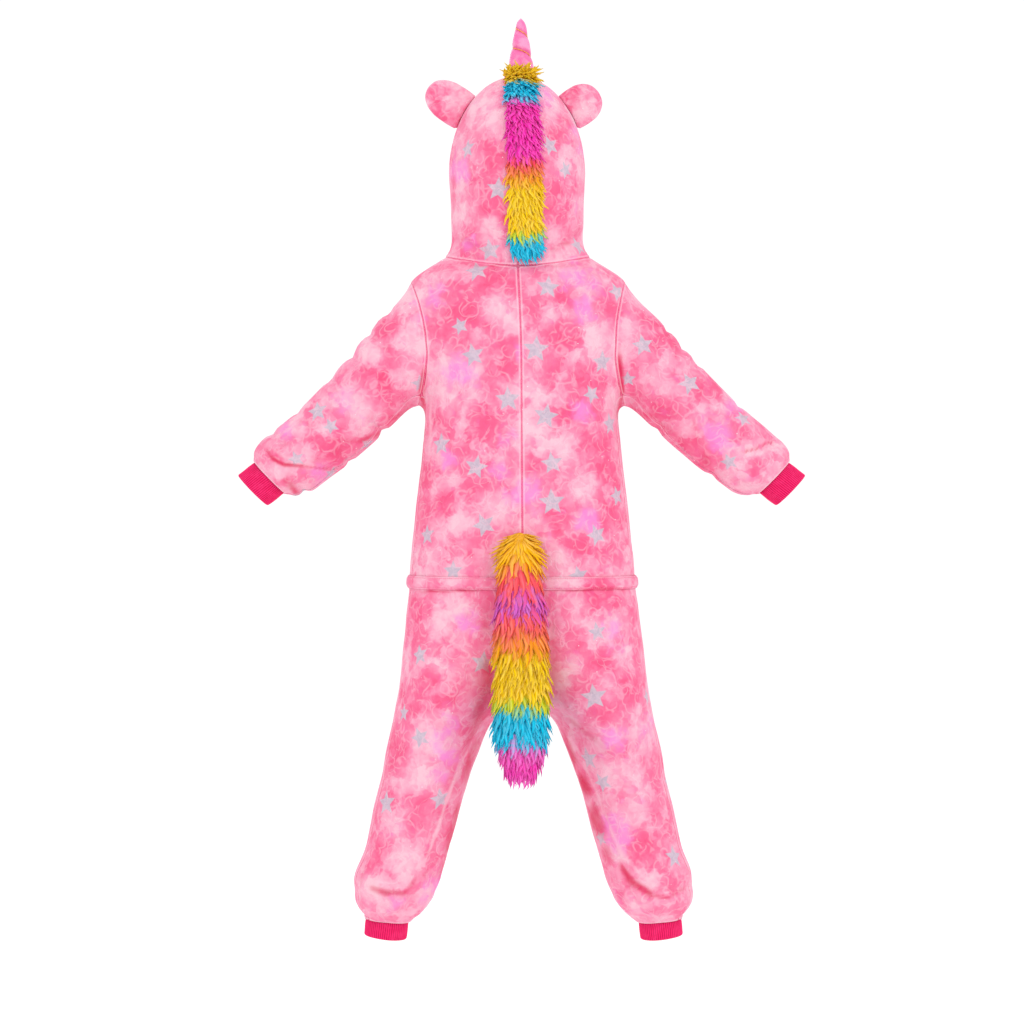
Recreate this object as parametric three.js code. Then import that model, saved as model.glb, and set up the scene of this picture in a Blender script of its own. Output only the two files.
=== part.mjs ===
// Unicorn kigurumi onesie, held in its worn shape: millimetres, +Z up, front towards -Y, left on +X.
// The origin lies between the shoulders. Every panel is a thin wall on one of two skins, body and hood.
import * as THREE from "three";

// ---- Sizes ----
const CLOTH = 2.2; // wall of the plush flannel
const RIB = 2.6; // wall of the ribbed cuffs
const SEAM = 0.15; // each panel stops this far from its seam
const LIFT = 0.5; // gap under a piece that lies on a panel

const ARM_OUT = 0.719; // the sleeve's direction, across
const ARM_DOWN = 0.695; // and downwards
const SLEEVE_START = 105; // the sleeve's tube begins here, inside the shoulder
const SLEEVE_END = 455; // along the sleeve, where the cuff is sewn on
const CUFF_END = 485.5;
const SLEEVE_BLEND = 30; // how softly sleeve and body flow together
const CROTCH_BLEND = 46;

const WAIST_Z = -436;
const BAND_HALF = 9; // half the waistband's height
const HIP_TOP = -500; // the body turns from one tube into two legs
const HIP_BOTTOM = -590;
const LEG_END = -906;
const ANKLE_END = -932;

const SIDE_Y = 30; // the side seams lie a little to the back
const INSEAM_Y = 6;
const ARMHOLE_TOP = -18;
const ARMHOLE_BOTTOM = -185;
const ARMHOLE_MID = -100;

const CROWN_Z = 134; // above this the hood is a dome
const CROWN_HEIGHT = 135;
const FACE_Z = 95; // middle of the face opening

const ANKLE_X = 189.8; // middle of the ankle
const ANKLE_TILT = 0.12; // the leg's end and its cuff are higher on the outside

const COLOUR = {
  flannel: "#f585b4",
  rib: "#ef2a86",
  horn: "#f0429c",
  mane: "#f7a531",
  tail: "#f08a3c",
  ear: "#f795bf",
  button: "#f02f8e",
};

// ---- Tables ----
const TORSO = table(["z", "half", "back", "front"], [
  [30, 78, 50, 50],
  [16, 100, 58, 52],
  [0, 124, 72, 64],
  [-18, 142, 84, 74],
  [-60, 145, 92, 82],
  [-120, 140, 97, 92],
  [-185, 135, 96, 96],
  [-238, 138, 96, 97],
  [-294, 143.5, 98, 100],
  [-350, 150, 103, 105],
  [-406, 156, 108, 106],
  [-440, 158, 112, 108],
  [-473, 162, 115, 109],
  [-507, 165, 117, 110],
  [-540, 169, 116, 110],
  [-574, 173, 113, 109],
  [-600, 177, 108, 106],
]);
const SLEEVE = table(["along", "rise", "height", "depth"], [
  [100, 26, 55, 54],
  [150, 26, 59, 57],
  [200, 26, 58, 55],
  [250, 24, 55, 53],
  [311, 23, 53, 50],
  [355, 24, 51.5, 49],
  [400, 28, 50.5, 48],
  [425, 31, 49, 47],
  [438, 33, 46, 44.5],
  [447, 35, 41, 40],
  [452, 36, 35.5, 35],
  [455, 36, 31.5, 31],
]);
const LEG = table(["z", "centre", "half", "depth", "back"], [
  [-500, 80, 85, 112, 3],
  [-560, 88, 83, 109, 3],
  [-600, 97, 80, 103, 2],
  [-641, 116.5, 68.5, 91, 1],
  [-675, 127, 65.5, 82, 0],
  [-708, 136, 62, 76, 0],
  [-742, 146, 61, 72, 1],
  [-776, 153.7, 60, 69, 3],
  [-809, 162.3, 58.7, 67, 5],
  [-843, 174.4, 59.6, 66, 7],
  [-860, 179.5, 57.5, 64, 8],
  [-874, 182.3, 54.3, 60, 8],
  [-887, 186, 48.5, 53, 8],
  [-898, 188.5, 40, 43, 8],
  [-906, 189.8, 31.5, 32, 8],
]);
const HOOD = table(["z", "half", "back", "front"], [
  [-28, 100, 70, 78],
  [-2, 100.5, 71.5, 77],
  [16, 100, 76, 78],
  [28, 94, 80, 80],
  [41, 92, 86, 84],
  [88, 93.5, 106, 96],
  [134, 95.5, 114, 100],
]);
// The face opening, as a distance from its middle at each bearing in the front view.
const FACE = table(["bearing", "reach"], [
  [-90, 129],
  [-86.3, 123.3],
  [-72.5, 99.6],
  [-45, 77.8],
  [0, 68],
  [42.5, 81.4],
  [68.2, 96.9],
  [90, 105],
]);
const HORN = table(["along", "radius"], [
  [0, 25],
  [10, 25.3],
  [20, 24],
  [27, 20.5],
  [34, 18],
  [47, 15.8],
  [60, 13.6],
  [72, 11.8],
  [83, 9.4],
  [95, 7.4],
  [102, 4.6],
  [106.5, 0.8],
]);
const EAR = table(["along", "half", "thick"], [
  [-14, 24, 7],
  [0, 27, 9],
  [16, 28.5, 11],
  [32, 28, 11.5],
  [46, 24.5, 10.5],
  [56, 18.5, 8],
  [62, 11, 5],
  [64.5, 2, 1.2],
]);
// How far the worn garment leans to the left at each height.
const LEAN = table(["z", "by"], [
  [-930, -3.5],
  [-600, -3.5],
  [-450, -2],
  [-300, -1],
  [-120, 0],
  [-60, 2],
  [0, 4.5],
  [60, 5],
  [300, 5.5],
]);
const TAIL = table(["z", "half", "thick", "gap"], [
  [-366, 6, 5, 0.6],
  [-372, 15, 11, 0.6],
  [-386, 23, 17, 0.6],
  [-406, 29, 21, 1.5],
  [-430, 33, 23, 6.5],
  [-470, 36.5, 25, 7.5],
  [-520, 39, 26, 8],
  [-570, 40.5, 27, 8],
  [-620, 40, 27, 8],
  [-660, 36.5, 26, 8],
  [-685, 29, 22, 8],
  [-700, 19, 15, 8],
  [-707, 7, 6, 8],
]);
// The largest folds: a line in the back view, how far it stands out, its half-width, and its face.
const FOLDS = [
  { from: [354, -259], to: [260, -280], out: -4.5, wide: 11, face: 1 },
  { from: [300, -232], to: [338, -262], out: 3.5, wide: 13, face: 1 },
  { from: [205, -150], to: [250, -175], out: 3, wide: 16, face: 1 },
  { from: [-314, -260], to: [-356, -238], out: -4.5, wide: 11, face: 1 },
  { from: [-262, -205], to: [-300, -250], out: -3, wide: 14, face: 1 },
  { from: [-205, -130], to: [-240, -165], out: 3, wide: 16, face: 1 },
  { from: [43, -602], to: [71, -686], out: -5, wide: 13, face: 1 },
  { from: [71, -686], to: [127, -826], out: -3, wide: 14, face: 1 },
  { from: [-45, -619], to: [-97, -658], out: -5, wide: 12, face: 1 },
  { from: [-69, -665], to: [-139, -854], out: -3.5, wide: 14, face: 1 },
  { from: [-167, -861], to: [-237, -854], out: -4, wide: 11, face: 1 },
  { from: [232, -866], to: [150, -872], out: -3.5, wide: 11, face: 1 },
  { from: [120, -640], to: [165, -700], out: 3, wide: 18, face: 1 },
  { from: [-150, -650], to: [-165, -740], out: 3, wide: 18, face: 1 },
  { from: [95, -150], to: [140, -120], out: -3, wide: 14, face: 1 },
  { from: [-95, -155], to: [-140, -122], out: -3, wide: 14, face: 1 },
  { from: [60, -470], to: [110, -540], out: -2.5, wide: 16, face: 1 },
  { from: [-75, -468], to: [-120, -545], out: -2.5, wide: 16, face: 1 },
  { from: [60, -620], to: [130, -800], out: -3.5, wide: 14, face: -1 },
  { from: [-60, -620], to: [-130, -800], out: -3.5, wide: 14, face: -1 },
];
const HOOD_FOLDS = [
  { from: [71, 42], to: [50, 20], out: 2.5, wide: 12, face: 1 },
  { from: [-97, 49], to: [-48, 21], out: -3, wide: 9, face: 1 },
  { from: [60, 150], to: [30, 60], out: 2, wide: 20, face: 1 },
  { from: [-66, 130], to: [-40, 70], out: -1.8, wide: 16, face: 1 },
];
const BUTTONS_Z = [-58, -146, -234, -322, -408];

// ---- Counts ----
const TORSO_COLUMNS = 9;
const SIDE_ROWS = 8;
const BACK_ARM_ROWS = 9;
const FRONT_ARM_ROWS = 11;
const SHOULDER_ROWS = 3;
const LEG_COLUMNS = 11;
const HOOD_ROWS = 12;
const SLEEVE_GATHERS = 6;
const LEG_GATHERS = 7;

// ---- Arithmetic ----
// A table with named columns, read between its rows along a smooth curve that never overshoots.
function table(names, rows) {
  const sorted = [...rows].sort((a, b) => a[0] - b[0]);
  const last = sorted.length - 1;
  const secant = (i, c) =>
    (sorted[i + 1][c] - sorted[i][c]) / (sorted[i + 1][0] - sorted[i][0]);
  const slopes = sorted.map((row, i) =>
    row.map((_, c) => {
      if (i === 0) return secant(0, c);
      if (i === last) return secant(last - 1, c);
      const before = secant(i - 1, c);
      const after = secant(i, c);
      return before * after > 0 ? (2 * before * after) / (before + after) : 0;
    }),
  );
  return (key) => {
    const k = Math.min(Math.max(key, sorted[0][0]), sorted[last][0]);
    let i = 0;
    while (i < last - 1 && sorted[i + 1][0] < k) i++;
    const span = sorted[i + 1][0] - sorted[i][0];
    const t = (k - sorted[i][0]) / span;
    const found = {};
    names.forEach((name, c) => {
      found[name] =
        (2 * t ** 3 - 3 * t ** 2 + 1) * sorted[i][c] +
        (t ** 3 - 2 * t ** 2 + t) * span * slopes[i][c] +
        (3 * t ** 2 - 2 * t ** 3) * sorted[i + 1][c] +
        (t ** 3 - t ** 2) * span * slopes[i + 1][c];
    });
    return found;
  };
}

const mix = (a, b, t) => a + (b - a) * t;
const mixPoint = (a, b, t) => a.map((v, i) => mix(v, b[i], t));
const dot = (a, b) => a[0] * b[0] + a[1] * b[1] + a[2] * b[2];
const moved = (p, direction, by) => p.map((v, i) => v + direction[i] * by);
const degrees = (angle) => (angle * Math.PI) / 180;

function ease(low, high, value) {
  const t = Math.min(Math.max((value - low) / (high - low), 0), 1);
  return t * t * (3 - 2 * t);
}

// The smaller of two distances, with a soft hollow of size k where they are alike.
function blend(a, b, k) {
  const near = Math.max(k - Math.abs(a - b), 0) / k;
  return Math.min(a, b) - (near * near * k) / 4;
}

function gradient(measure, p) {
  const step = 0.01;
  return [0, 1, 2].map((axis) => {
    const ahead = [...p];
    const behind = [...p];
    ahead[axis] += step;
    behind[axis] -= step;
    return (measure(ahead) - measure(behind)) / (2 * step);
  });
}

function outward(measure, p) {
  const g = gradient(measure, p);
  const size = Math.hypot(...g);
  return g.map((v) => v / size);
}

function solve(matrix, right) {
  const n = right.length;
  const rows = matrix.map((row, i) => [...row, right[i]]);
  for (let i = 0; i < n; i++) {
    rows[i][i] += 1e-9;
    for (let j = 0; j < n; j++) {
      if (j === i) continue;
      const factor = rows[j][i] / rows[i][i];
      for (let c = i; c <= n; c++) rows[j][c] -= factor * rows[i][c];
    }
  }
  return rows.map((row, i) => row[n] / row[i]);
}

// Moves a point the shortest way until each rule's measure has its level there.
function settle(point, rules) {
  let p = [...point];
  for (let round = 0; round < 30; round++) {
    const misses = rules.map(([measure, level]) => level - measure(p));
    if (misses.every((miss) => Math.abs(miss) < 1e-6)) break;
    const slopes = rules.map(([measure]) => gradient(measure, p));
    const weights = solve(slopes.map((a) => slopes.map((b) => dot(a, b))), misses);
    let step = [0, 0, 0];
    weights.forEach((w, i) => {
      step = moved(step, slopes[i], w);
    });
    const length = Math.hypot(...step);
    p = moved(p, step, length > 10 ? 10 / length : 1);
  }
  return p;
}

// The first place where a ray from inside a skin leaves it.
function leave(skin, start, direction) {
  let inside = 0;
  let outside = 0;
  while (skin(moved(start, direction, outside)) < 0 && outside < 400) {
    inside = outside;
    outside += 4;
  }
  for (let i = 0; i < 30; i++) {
    const half = (inside + outside) / 2;
    if (skin(moved(start, direction, half)) < 0) inside = half;
    else outside = half;
  }
  return moved(start, direction, inside);
}

// ---- The two skins ----
// How far a place is outside a rounded section: negative inside, nought on it.
function beyond(across, deep, half, depth, power) {
  const reach = Math.max(Math.hypot(across, deep), 1e-6);
  const ratio =
    (Math.abs(across / half) ** power + Math.abs(deep / depth) ** power) ** (1 / power);
  return reach - reach / Math.max(ratio, 1e-9);
}

const along = (p) => Math.abs(p[0]) * ARM_OUT - p[2] * ARM_DOWN;
const rise = (p) => Math.abs(p[0]) * ARM_DOWN + p[2] * ARM_OUT;

function foldAt(folds, p) {
  let out = 0;
  for (const fold of folds) {
    const [ax, az] = fold.from;
    const dx = fold.to[0] - ax;
    const dz = fold.to[1] - az;
    const t = ((p[0] - ax) * dx + (p[2] - az) * dz) / (dx * dx + dz * dz);
    const held = Math.min(Math.max(t, 0), 1);
    const away = Math.hypot(p[0] - ax - dx * held, p[2] - az - dz * held);
    const facing = ease(-12, 28, p[1] * fold.face);
    out += fold.out * facing * Math.exp(-((away / fold.wide) ** 2));
  }
  return out;
}

function torso([x, y, z]) {
  const row = TORSO(z);
  return beyond(x, y, row.half, y > 0 ? row.back : row.front, 2.35);
}

// Height at the middle of the ankle, on the tilted level that runs through a point.
const tilted = (p, side) => p[2] - ANKLE_TILT * (p[0] * side - ANKLE_X) * ease(-780, -880, p[2]);

function leg([x, y, z], side) {
  const row = LEG(tilted([x, y, z], side));
  const across = x * side - row.centre;
  const deep = y - row.back;
  const gather = 1.5 * ease(-850, -885, z) * (1 - ease(-898, -906, z));
  const wave = gather * Math.cos(LEG_GATHERS * Math.atan2(deep, across) + 0.6);
  return beyond(across, deep, row.half, row.depth, 2.1) - wave;
}

function sleeve(p) {
  const s = along(p);
  const row = SLEEVE(s);
  const across = rise(p) - row.rise;
  const gather = 1.5 * ease(405, 435, s) * (1 - ease(448, 455, s));
  const wave = gather * Math.cos(SLEEVE_GATHERS * Math.atan2(p[1], across) + 0.4);
  const tube = beyond(across, p[1], row.height, row.depth, 2.05) - wave;
  return -blend(-tube, s - SLEEVE_START, 24);
}

function body(p) {
  const split = ease(HIP_TOP, HIP_BOTTOM, p[2]);
  let skin = 0;
  if (split < 1) skin += (1 - split) * torso(p);
  if (split > 0) skin += split * blend(leg(p, 1), leg(p, -1), CROTCH_BLEND);
  return blend(skin, sleeve(p), SLEEVE_BLEND) - foldAt(FOLDS, p);
}

function hood(p) {
  const row = HOOD(Math.min(p[2], CROWN_Z));
  const up = Math.max(p[2] - CROWN_Z, 0);
  const depth = p[1] > 0 ? row.back : row.front;
  const ratio = Math.hypot(p[0] / row.half, p[1] / depth, up / CROWN_HEIGHT);
  const reach = Math.hypot(p[0], p[1], up);
  return reach - reach / Math.max(ratio, 1e-9) - foldAt(HOOD_FOLDS, p);
}

// ---- Seams: each is a surface that crosses a skin, measured so that it is nought on the seam ----
const centreSeam = (p) => p[0];
const sideSeam = (p) => p[1] - SIDE_Y;
const shoulderSeam = (p) => p[1];
const inseam = (p) => p[1] - INSEAM_Y;
const waistSeam = (p) => p[2] - WAIST_Z;
const ankleSeam = (p) => tilted(p, 1) - LEG_END;
const wristSeam = (p) => along(p) - SLEEVE_END;
const underarmSeam = (p) => p[1] - mix(SIDE_Y, 8, ease(200, 440, along(p)));
const atHeight = (z) => [(p) => p[2], z];
const onBearing = (angle) => [(p) => p[1] * Math.cos(angle) - p[0] * Math.sin(angle), 0];

function armholeSeam(p) {
  const down = (p[2] - ARMHOLE_TOP) / (ARMHOLE_BOTTOM - ARMHOLE_TOP);
  return p[0] - (149 - 8 * down - 56 * down * (1 - down));
}

function neckSeam(p) {
  const across = (p[0] / 100) ** 2;
  const deep = (p[1] / 74) ** 2;
  return p[2] - (16 * across + (p[1] > 0 ? -2 : -28) * deep) / (across + deep);
}

function faceSeam(p) {
  const bearing = (Math.atan2(p[2] - FACE_Z, Math.abs(p[0])) * 180) / Math.PI;
  return Math.hypot(p[0], p[2] - FACE_Z) - FACE(bearing).reach;
}

// ---- Building solids ----
const root = new THREE.Group();
root.name = "kigurumi_onesie";

// A named solid from points and faces; side -1 mirrors it to the wearer's right.
function addSolid(name, colour, points, faces, side = 1, roughness = 0.9) {
  let volume = 0;
  for (const [a, b, c] of faces) {
    const [p, q, r] = [points[a], points[b], points[c]];
    const cross = [
      q[1] * r[2] - q[2] * r[1],
      q[2] * r[0] - q[0] * r[2],
      q[0] * r[1] - q[1] * r[0],
    ];
    volume += dot(p, cross);
  }
  const turn = volume * side < 0;
  const geometry = new THREE.BufferGeometry();
  const flat = points.flatMap(([x, y, z]) => [x * side + LEAN(z).by, y, z]);
  geometry.setAttribute("position", new THREE.Float32BufferAttribute(flat, 3));
  geometry.setIndex(faces.flatMap(([a, b, c]) => (turn ? [a, c, b] : [a, b, c])));
  geometry.computeVertexNormals();
  const material = new THREE.MeshStandardMaterial({ color: colour, roughness, metalness: 0 });
  const mesh = new THREE.Mesh(geometry, material);
  mesh.name = name;
  root.add(mesh);
}

function addQuad(faces, a, b, c, d) {
  faces.push([a, b, c], [a, c, d]);
}

// Two grids of the same size joined into one wall by a strip round the edge.
function wall(outer, inner) {
  const rows = outer.length;
  const columns = outer[0].length;
  const points = [...outer.flat(), ...inner.flat()];
  const faces = [];
  const o = (j, i) => j * columns + i;
  const n = (j, i) => rows * columns + o(j, i);
  for (let j = 0; j < rows - 1; j++) {
    for (let i = 0; i < columns - 1; i++) {
      addQuad(faces, o(j, i), o(j, i + 1), o(j + 1, i + 1), o(j + 1, i));
      addQuad(faces, n(j, i), n(j + 1, i), n(j + 1, i + 1), n(j, i + 1));
    }
    addQuad(faces, o(j, 0), o(j + 1, 0), n(j + 1, 0), n(j, 0));
    const e = columns - 1;
    addQuad(faces, o(j + 1, e), o(j, e), n(j, e), n(j + 1, e));
  }
  for (let i = 0; i < columns - 1; i++) {
    addQuad(faces, o(0, i + 1), o(0, i), n(0, i), n(0, i + 1));
    const e = rows - 1;
    addQuad(faces, o(e, i), o(e, i + 1), n(e, i + 1), n(e, i));
  }
  return { points, faces };
}

// A cloth panel from its outer grid. seamsAt gives the seam rules that hold at a grid place.
function addPanel(name, colour, skin, grid, seamsAt, side) {
  const outer = grid.map((row, j) =>
    row.map((p, i) => settle(p, [[skin, 0], ...seamsAt(j, i)])),
  );
  const inner = outer.map((row, j) =>
    row.map((p, i) => settle(moved(p, outward(skin, p), -CLOTH), seamsAt(j, i))),
  );
  const { points, faces } = wall(outer, inner);
  addSolid(name, colour, points, faces, side);
}

// Evens out the inside of a grid while it stays on its skin.
function relax(skin, grid, rounds, first, last) {
  for (let round = 0; round < rounds; round++) {
    for (let j = Math.max(first, 1); j < Math.min(last, grid.length - 1); j++) {
      for (let i = 1; i < grid[j].length - 1; i++) {
        const sides = [grid[j - 1][i], grid[j + 1][i], grid[j][i - 1], grid[j][i + 1]];
        const middle = [0, 1, 2].map((a) => sides.reduce((sum, p) => sum + p[a], 0) / 4);
        grid[j][i] = settle(mixPoint(grid[j][i], middle, 0.6), [[skin, 0]]);
      }
    }
  }
}

// Points between two ends of a row, turning about an upright axis by way of the back or the front.
function turnBetween(skin, left, right, count, axisAt, face) {
  const bearing = (p) => {
    const [ax, ay] = axisAt(p[2]);
    const angle = Math.atan2(p[1] - ay, p[0] - ax);
    const past = angle - (face * Math.PI) / 2;
    return angle - 2 * Math.PI * Math.round(past / (2 * Math.PI));
  };
  const from = bearing(left);
  const to = bearing(right);
  const row = [left];
  for (let i = 1; i < count; i++) {
    const t = i / count;
    const z = mix(left[2], right[2], t);
    const angle = mix(from, to, t);
    const [ax, ay] = axisAt(z);
    row.push(leave(skin, [ax, ay, z], [Math.cos(angle), Math.sin(angle), 0]));
  }
  return [...row, right];
}

const spread = (count) => Array.from({ length: count + 1 }, (_, i) => i / count);
const skinOn = (skin, side) => (p) => skin([p[0] * side, p[1], p[2]]);

// ---- Armhole and body panels ----
const onArmBearing = (turn) => [
  (p) => p[1] * Math.cos(turn) - (p[2] - ARMHOLE_MID) * Math.sin(turn),
  0,
];
const armTurn = (p) => Math.atan2(p[1], p[2] - ARMHOLE_MID);

// The armhole, from the side seam up the back (face 1) or the front (face -1) to the shoulder tip.
function armTurns(skin, face) {
  const corner = settle([147, SIDE_Y, -178], [[skin, 0], [armholeSeam, 0], [sideSeam, 0]]);
  const start = armTurn(corner);
  if (face > 0) return spread(BACK_ARM_ROWS).map((t) => mix(start, 0, t));
  return spread(FRONT_ARM_ROWS).map((t) => mix(start - 2 * Math.PI, 0, t));
}

function armPoint(skin, turn, gap) {
  const out = [0, Math.sin(turn), Math.cos(turn)];
  const place = moved([0, 0, ARMHOLE_MID], out, 80);
  place[0] = 145;
  const rules = [[skin, 0], [armholeSeam, gap], onArmBearing(turn)];
  return settle(place, rules);
}

function addTorsoPanel(name, side, face) {
  const skin = skinOn(body, side);
  const turns = armTurns(skin, face);
  const rim = turns.map((turn) => armPoint(skin, turn, -SEAM));
  const low = settle([157, SIDE_Y, WAIST_Z], [[skin, 0], [sideSeam, 0], atHeight(WAIST_Z)]);
  const sideEdge = spread(SIDE_ROWS).map((t) => mixPoint(low, rim[0], t));
  const tip = rim[rim.length - 1];
  const neck = settle([100, 0, 16], [[skin, 0], [neckSeam, 0], [shoulderSeam, 0]]);
  const shoulder = spread(SHOULDER_ROWS).map((t) => mixPoint(tip, neck, t));
  const edge = [...sideEdge.slice(0, -1), ...rim.slice(0, -1), ...shoulder];
  const placed = edge.map((p, j) => {
    const onSide = [[sideSeam, face * SEAM], atHeight(p[2])];
    return settle(p, [[skin, 0], ...(j < SIDE_ROWS ? onSide : [])]);
  });
  const lengths = [0];
  for (let j = 1; j < placed.length; j++) {
    lengths.push(lengths[j - 1] + Math.hypot(...placed[j].map((v, a) => v - placed[j - 1][a])));
  }
  const total = lengths[lengths.length - 1];
  const neckZ = face > 0 ? -2 : -28;
  const lastRow = placed.length - 1;
  const shortOfArm = (p) => Math.max(skin(p), armholeSeam(p) + 4);
  const grid = placed.map((right, j) => {
    const z = mix(WAIST_Z, neckZ, lengths[j] / total);
    const left = settle([SEAM, face * 90, z], [[skin, 0], [centreSeam, SEAM], atHeight(z)]);
    return turnBetween(shortOfArm, left, right, TORSO_COLUMNS, () => [0, 0], face);
  });
  relax(skin, grid, 8, SIDE_ROWS - 4, lastRow);
  const seamsAt = (j, i) => {
    const rules = [];
    if (i === 0) rules.push([centreSeam, SEAM]);
    if (j === 0) rules.push([waistSeam, SEAM]);
    if (j === lastRow) rules.push([neckSeam, -SEAM]);
    if (j === lastRow && i > 0 && i < TORSO_COLUMNS) {
      rules.push(onBearing(face * degrees(90 - (90 * i) / TORSO_COLUMNS)));
    }
    if (i === TORSO_COLUMNS) {
      if (j <= SIDE_ROWS) rules.push([sideSeam, face * SEAM]);
      const tipRow = SIDE_ROWS + turns.length - 1;
      if (j >= SIDE_ROWS && j <= tipRow) rules.push([armholeSeam, -SEAM]);
      if (j > SIDE_ROWS && j < tipRow) rules.push(onArmBearing(turns[j - SIDE_ROWS]));
      if (j >= tipRow) rules.push([shoulderSeam, face * SEAM]);
    }
    return rules;
  };
  addPanel(name, COLOUR.flannel, skin, grid, seamsAt, side);
}

// ---- Sleeves ----
const SLEEVE_ROWS = [0, 0.06, 0.15, 0.26, 0.38, 0.5, 0.62, 0.73, 0.82, 0.89, 0.935, 0.965, 0.985, 1];

function addSleeve(name, side) {
  const skin = skinOn(body, side);
  const back = armTurns(skin, 1);
  const front = armTurns(skin, -1);
  const turns = [...back, ...[...front].reverse().slice(1)];
  const rim = turns.map((turn) => armPoint(skin, turn, SEAM));
  const last = turns.length - 1;
  const around = (p) => Math.atan2(p[1], rise(p) - SLEEVE(along(p)).rise);
  const endStart = degrees(165);
  const grid = SLEEVE_ROWS.map((t) =>
    rim.map((p, i) => {
      if (t === 0) return p;
      let begin = around(p);
      const end = endStart - (2 * Math.PI * i) / last;
      while (begin - end > Math.PI) begin -= 2 * Math.PI;
      while (end - begin > Math.PI) begin += 2 * Math.PI;
      const s = mix(along(p), SLEEVE_END, t);
      const turn = mix(begin, end, ease(0, 1, t));
      const lift = SLEEVE(s).rise;
      const start = [s * ARM_OUT + lift * ARM_DOWN, 0, lift * ARM_OUT - s * ARM_DOWN];
      const c = Math.cos(turn);
      return leave(skin, start, [c * ARM_DOWN, Math.sin(turn), c * ARM_OUT]);
    }),
  );
  const seamsAt = (j, i) => {
    const rules = [];
    if (j === 0) rules.push([armholeSeam, SEAM]);
    if (j === 0 && i > 0 && i < last) rules.push(onArmBearing(turns[i]));
    if (j === SLEEVE_ROWS.length - 1) rules.push([wristSeam, -SEAM]);
    if (i === 0) rules.push([underarmSeam, SEAM]);
    if (i === last) rules.push([underarmSeam, -SEAM]);
    return rules;
  };
  addPanel(name, COLOUR.flannel, skin, grid, seamsAt, side);
}

// ---- Legs ----
const CENTRE_HEIGHTS = [-436, -458, -480];
const CENTRE_TURNS = [0, -18, -35, -51, -65, -78]; // down the seat, about a pivot inside it
const SEAT_PIVOT = [SEAM, INSEAM_Y, -502];
const INSEAM_SHARES = [0, 0.035, 0.085, 0.16, 0.26, 0.38, 0.5, 0.62, 0.73, 0.82, 0.89, 0.94, 0.975, 1];
const CROTCH_SIDE_Z = -600; // the side seam's height on the row that meets the crotch

function addLegPanel(name, side, face) {
  const skin = skinOn(body, side);
  const crotchRules = [[skin, 0], [centreSeam, SEAM], [inseam, face * SEAM]];
  const crotch = settle([SEAM, INSEAM_Y, -596], crotchRules);
  const descent = (p) => 0.6 * p[0] - 0.8 * p[2];
  const foot = settle([160, INSEAM_Y, LEG_END], [[skin, 0], [inseam, 0], [ankleSeam, 0]]);
  const inner = [
    ...CENTRE_HEIGHTS.map((z) =>
      settle([SEAM, face * 105, z], [[skin, 0], [centreSeam, SEAM], atHeight(z)]),
    ),
    ...CENTRE_TURNS.map((turn) => {
      const direction = [0, face * Math.cos(degrees(turn)), Math.sin(degrees(turn))];
      return leave(skin, SEAT_PIVOT, direction);
    }),
    ...INSEAM_SHARES.map((t) => {
      if (t === 0) return crotch;
      const level = mix(descent(crotch), descent(foot), t);
      const guess = mixPoint(crotch, foot, t);
      return settle(guess, [[skin, 0], [inseam, face * SEAM], [descent, level]]);
    }),
  ];
  const crotchRow = CENTRE_HEIGHTS.length + CENTRE_TURNS.length;
  const lastRow = inner.length - 1;
  const outerZ = inner.map((_, j) =>
    j <= crotchRow
      ? mix(WAIST_Z, CROTCH_SIDE_Z, j / crotchRow)
      : mix(CROTCH_SIDE_Z, LEG_END, INSEAM_SHARES[j - crotchRow]),
  );
  const axisAt = (z) => {
    const row = LEG(z);
    return [mix(60, row.centre, ease(-436, -560, z)), row.back];
  };
  const grid = inner.map((left, j) => {
    const z = outerZ[j];
    const start = [axisAt(z)[0] + 60, SIDE_Y, z];
    const right = settle(start, [[skin, 0], [sideSeam, face * SEAM], atHeight(z)]);
    return turnBetween(skin, left, right, LEG_COLUMNS, axisAt, face);
  });
  relax(skin, grid, 12, 1, crotchRow + 4);
  const seamsAt = (j, i) => {
    const rules = [];
    if (j === 0) rules.push([waistSeam, -SEAM]);
    if (j === lastRow) rules.push([ankleSeam, SEAM]);
    if (i === 0 && j <= crotchRow) rules.push([centreSeam, SEAM]);
    if (i === 0 && j >= crotchRow) rules.push([inseam, face * SEAM]);
    if (i === LEG_COLUMNS) rules.push([sideSeam, face * SEAM]);
    return rules;
  };
  addPanel(name, COLOUR.flannel, skin, grid, seamsAt, side);
}

// ---- Hood ----
// A patch between four edges, each a list of points in the same direction as its opposite edge.
function patch(low, high, left, right) {
  const rows = left.length - 1;
  const columns = low.length - 1;
  return left.map((_, j) =>
    low.map((__, i) => {
      const u = i / columns;
      const v = j / rows;
      return [0, 1, 2].map(
        (a) =>
          mix(low[i][a], high[i][a], v) +
          mix(left[j][a], right[j][a], u) -
          mix(mix(low[0][a], low[columns][a], u), mix(high[0][a], high[columns][a], u), v),
      );
    }),
  );
}

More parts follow.
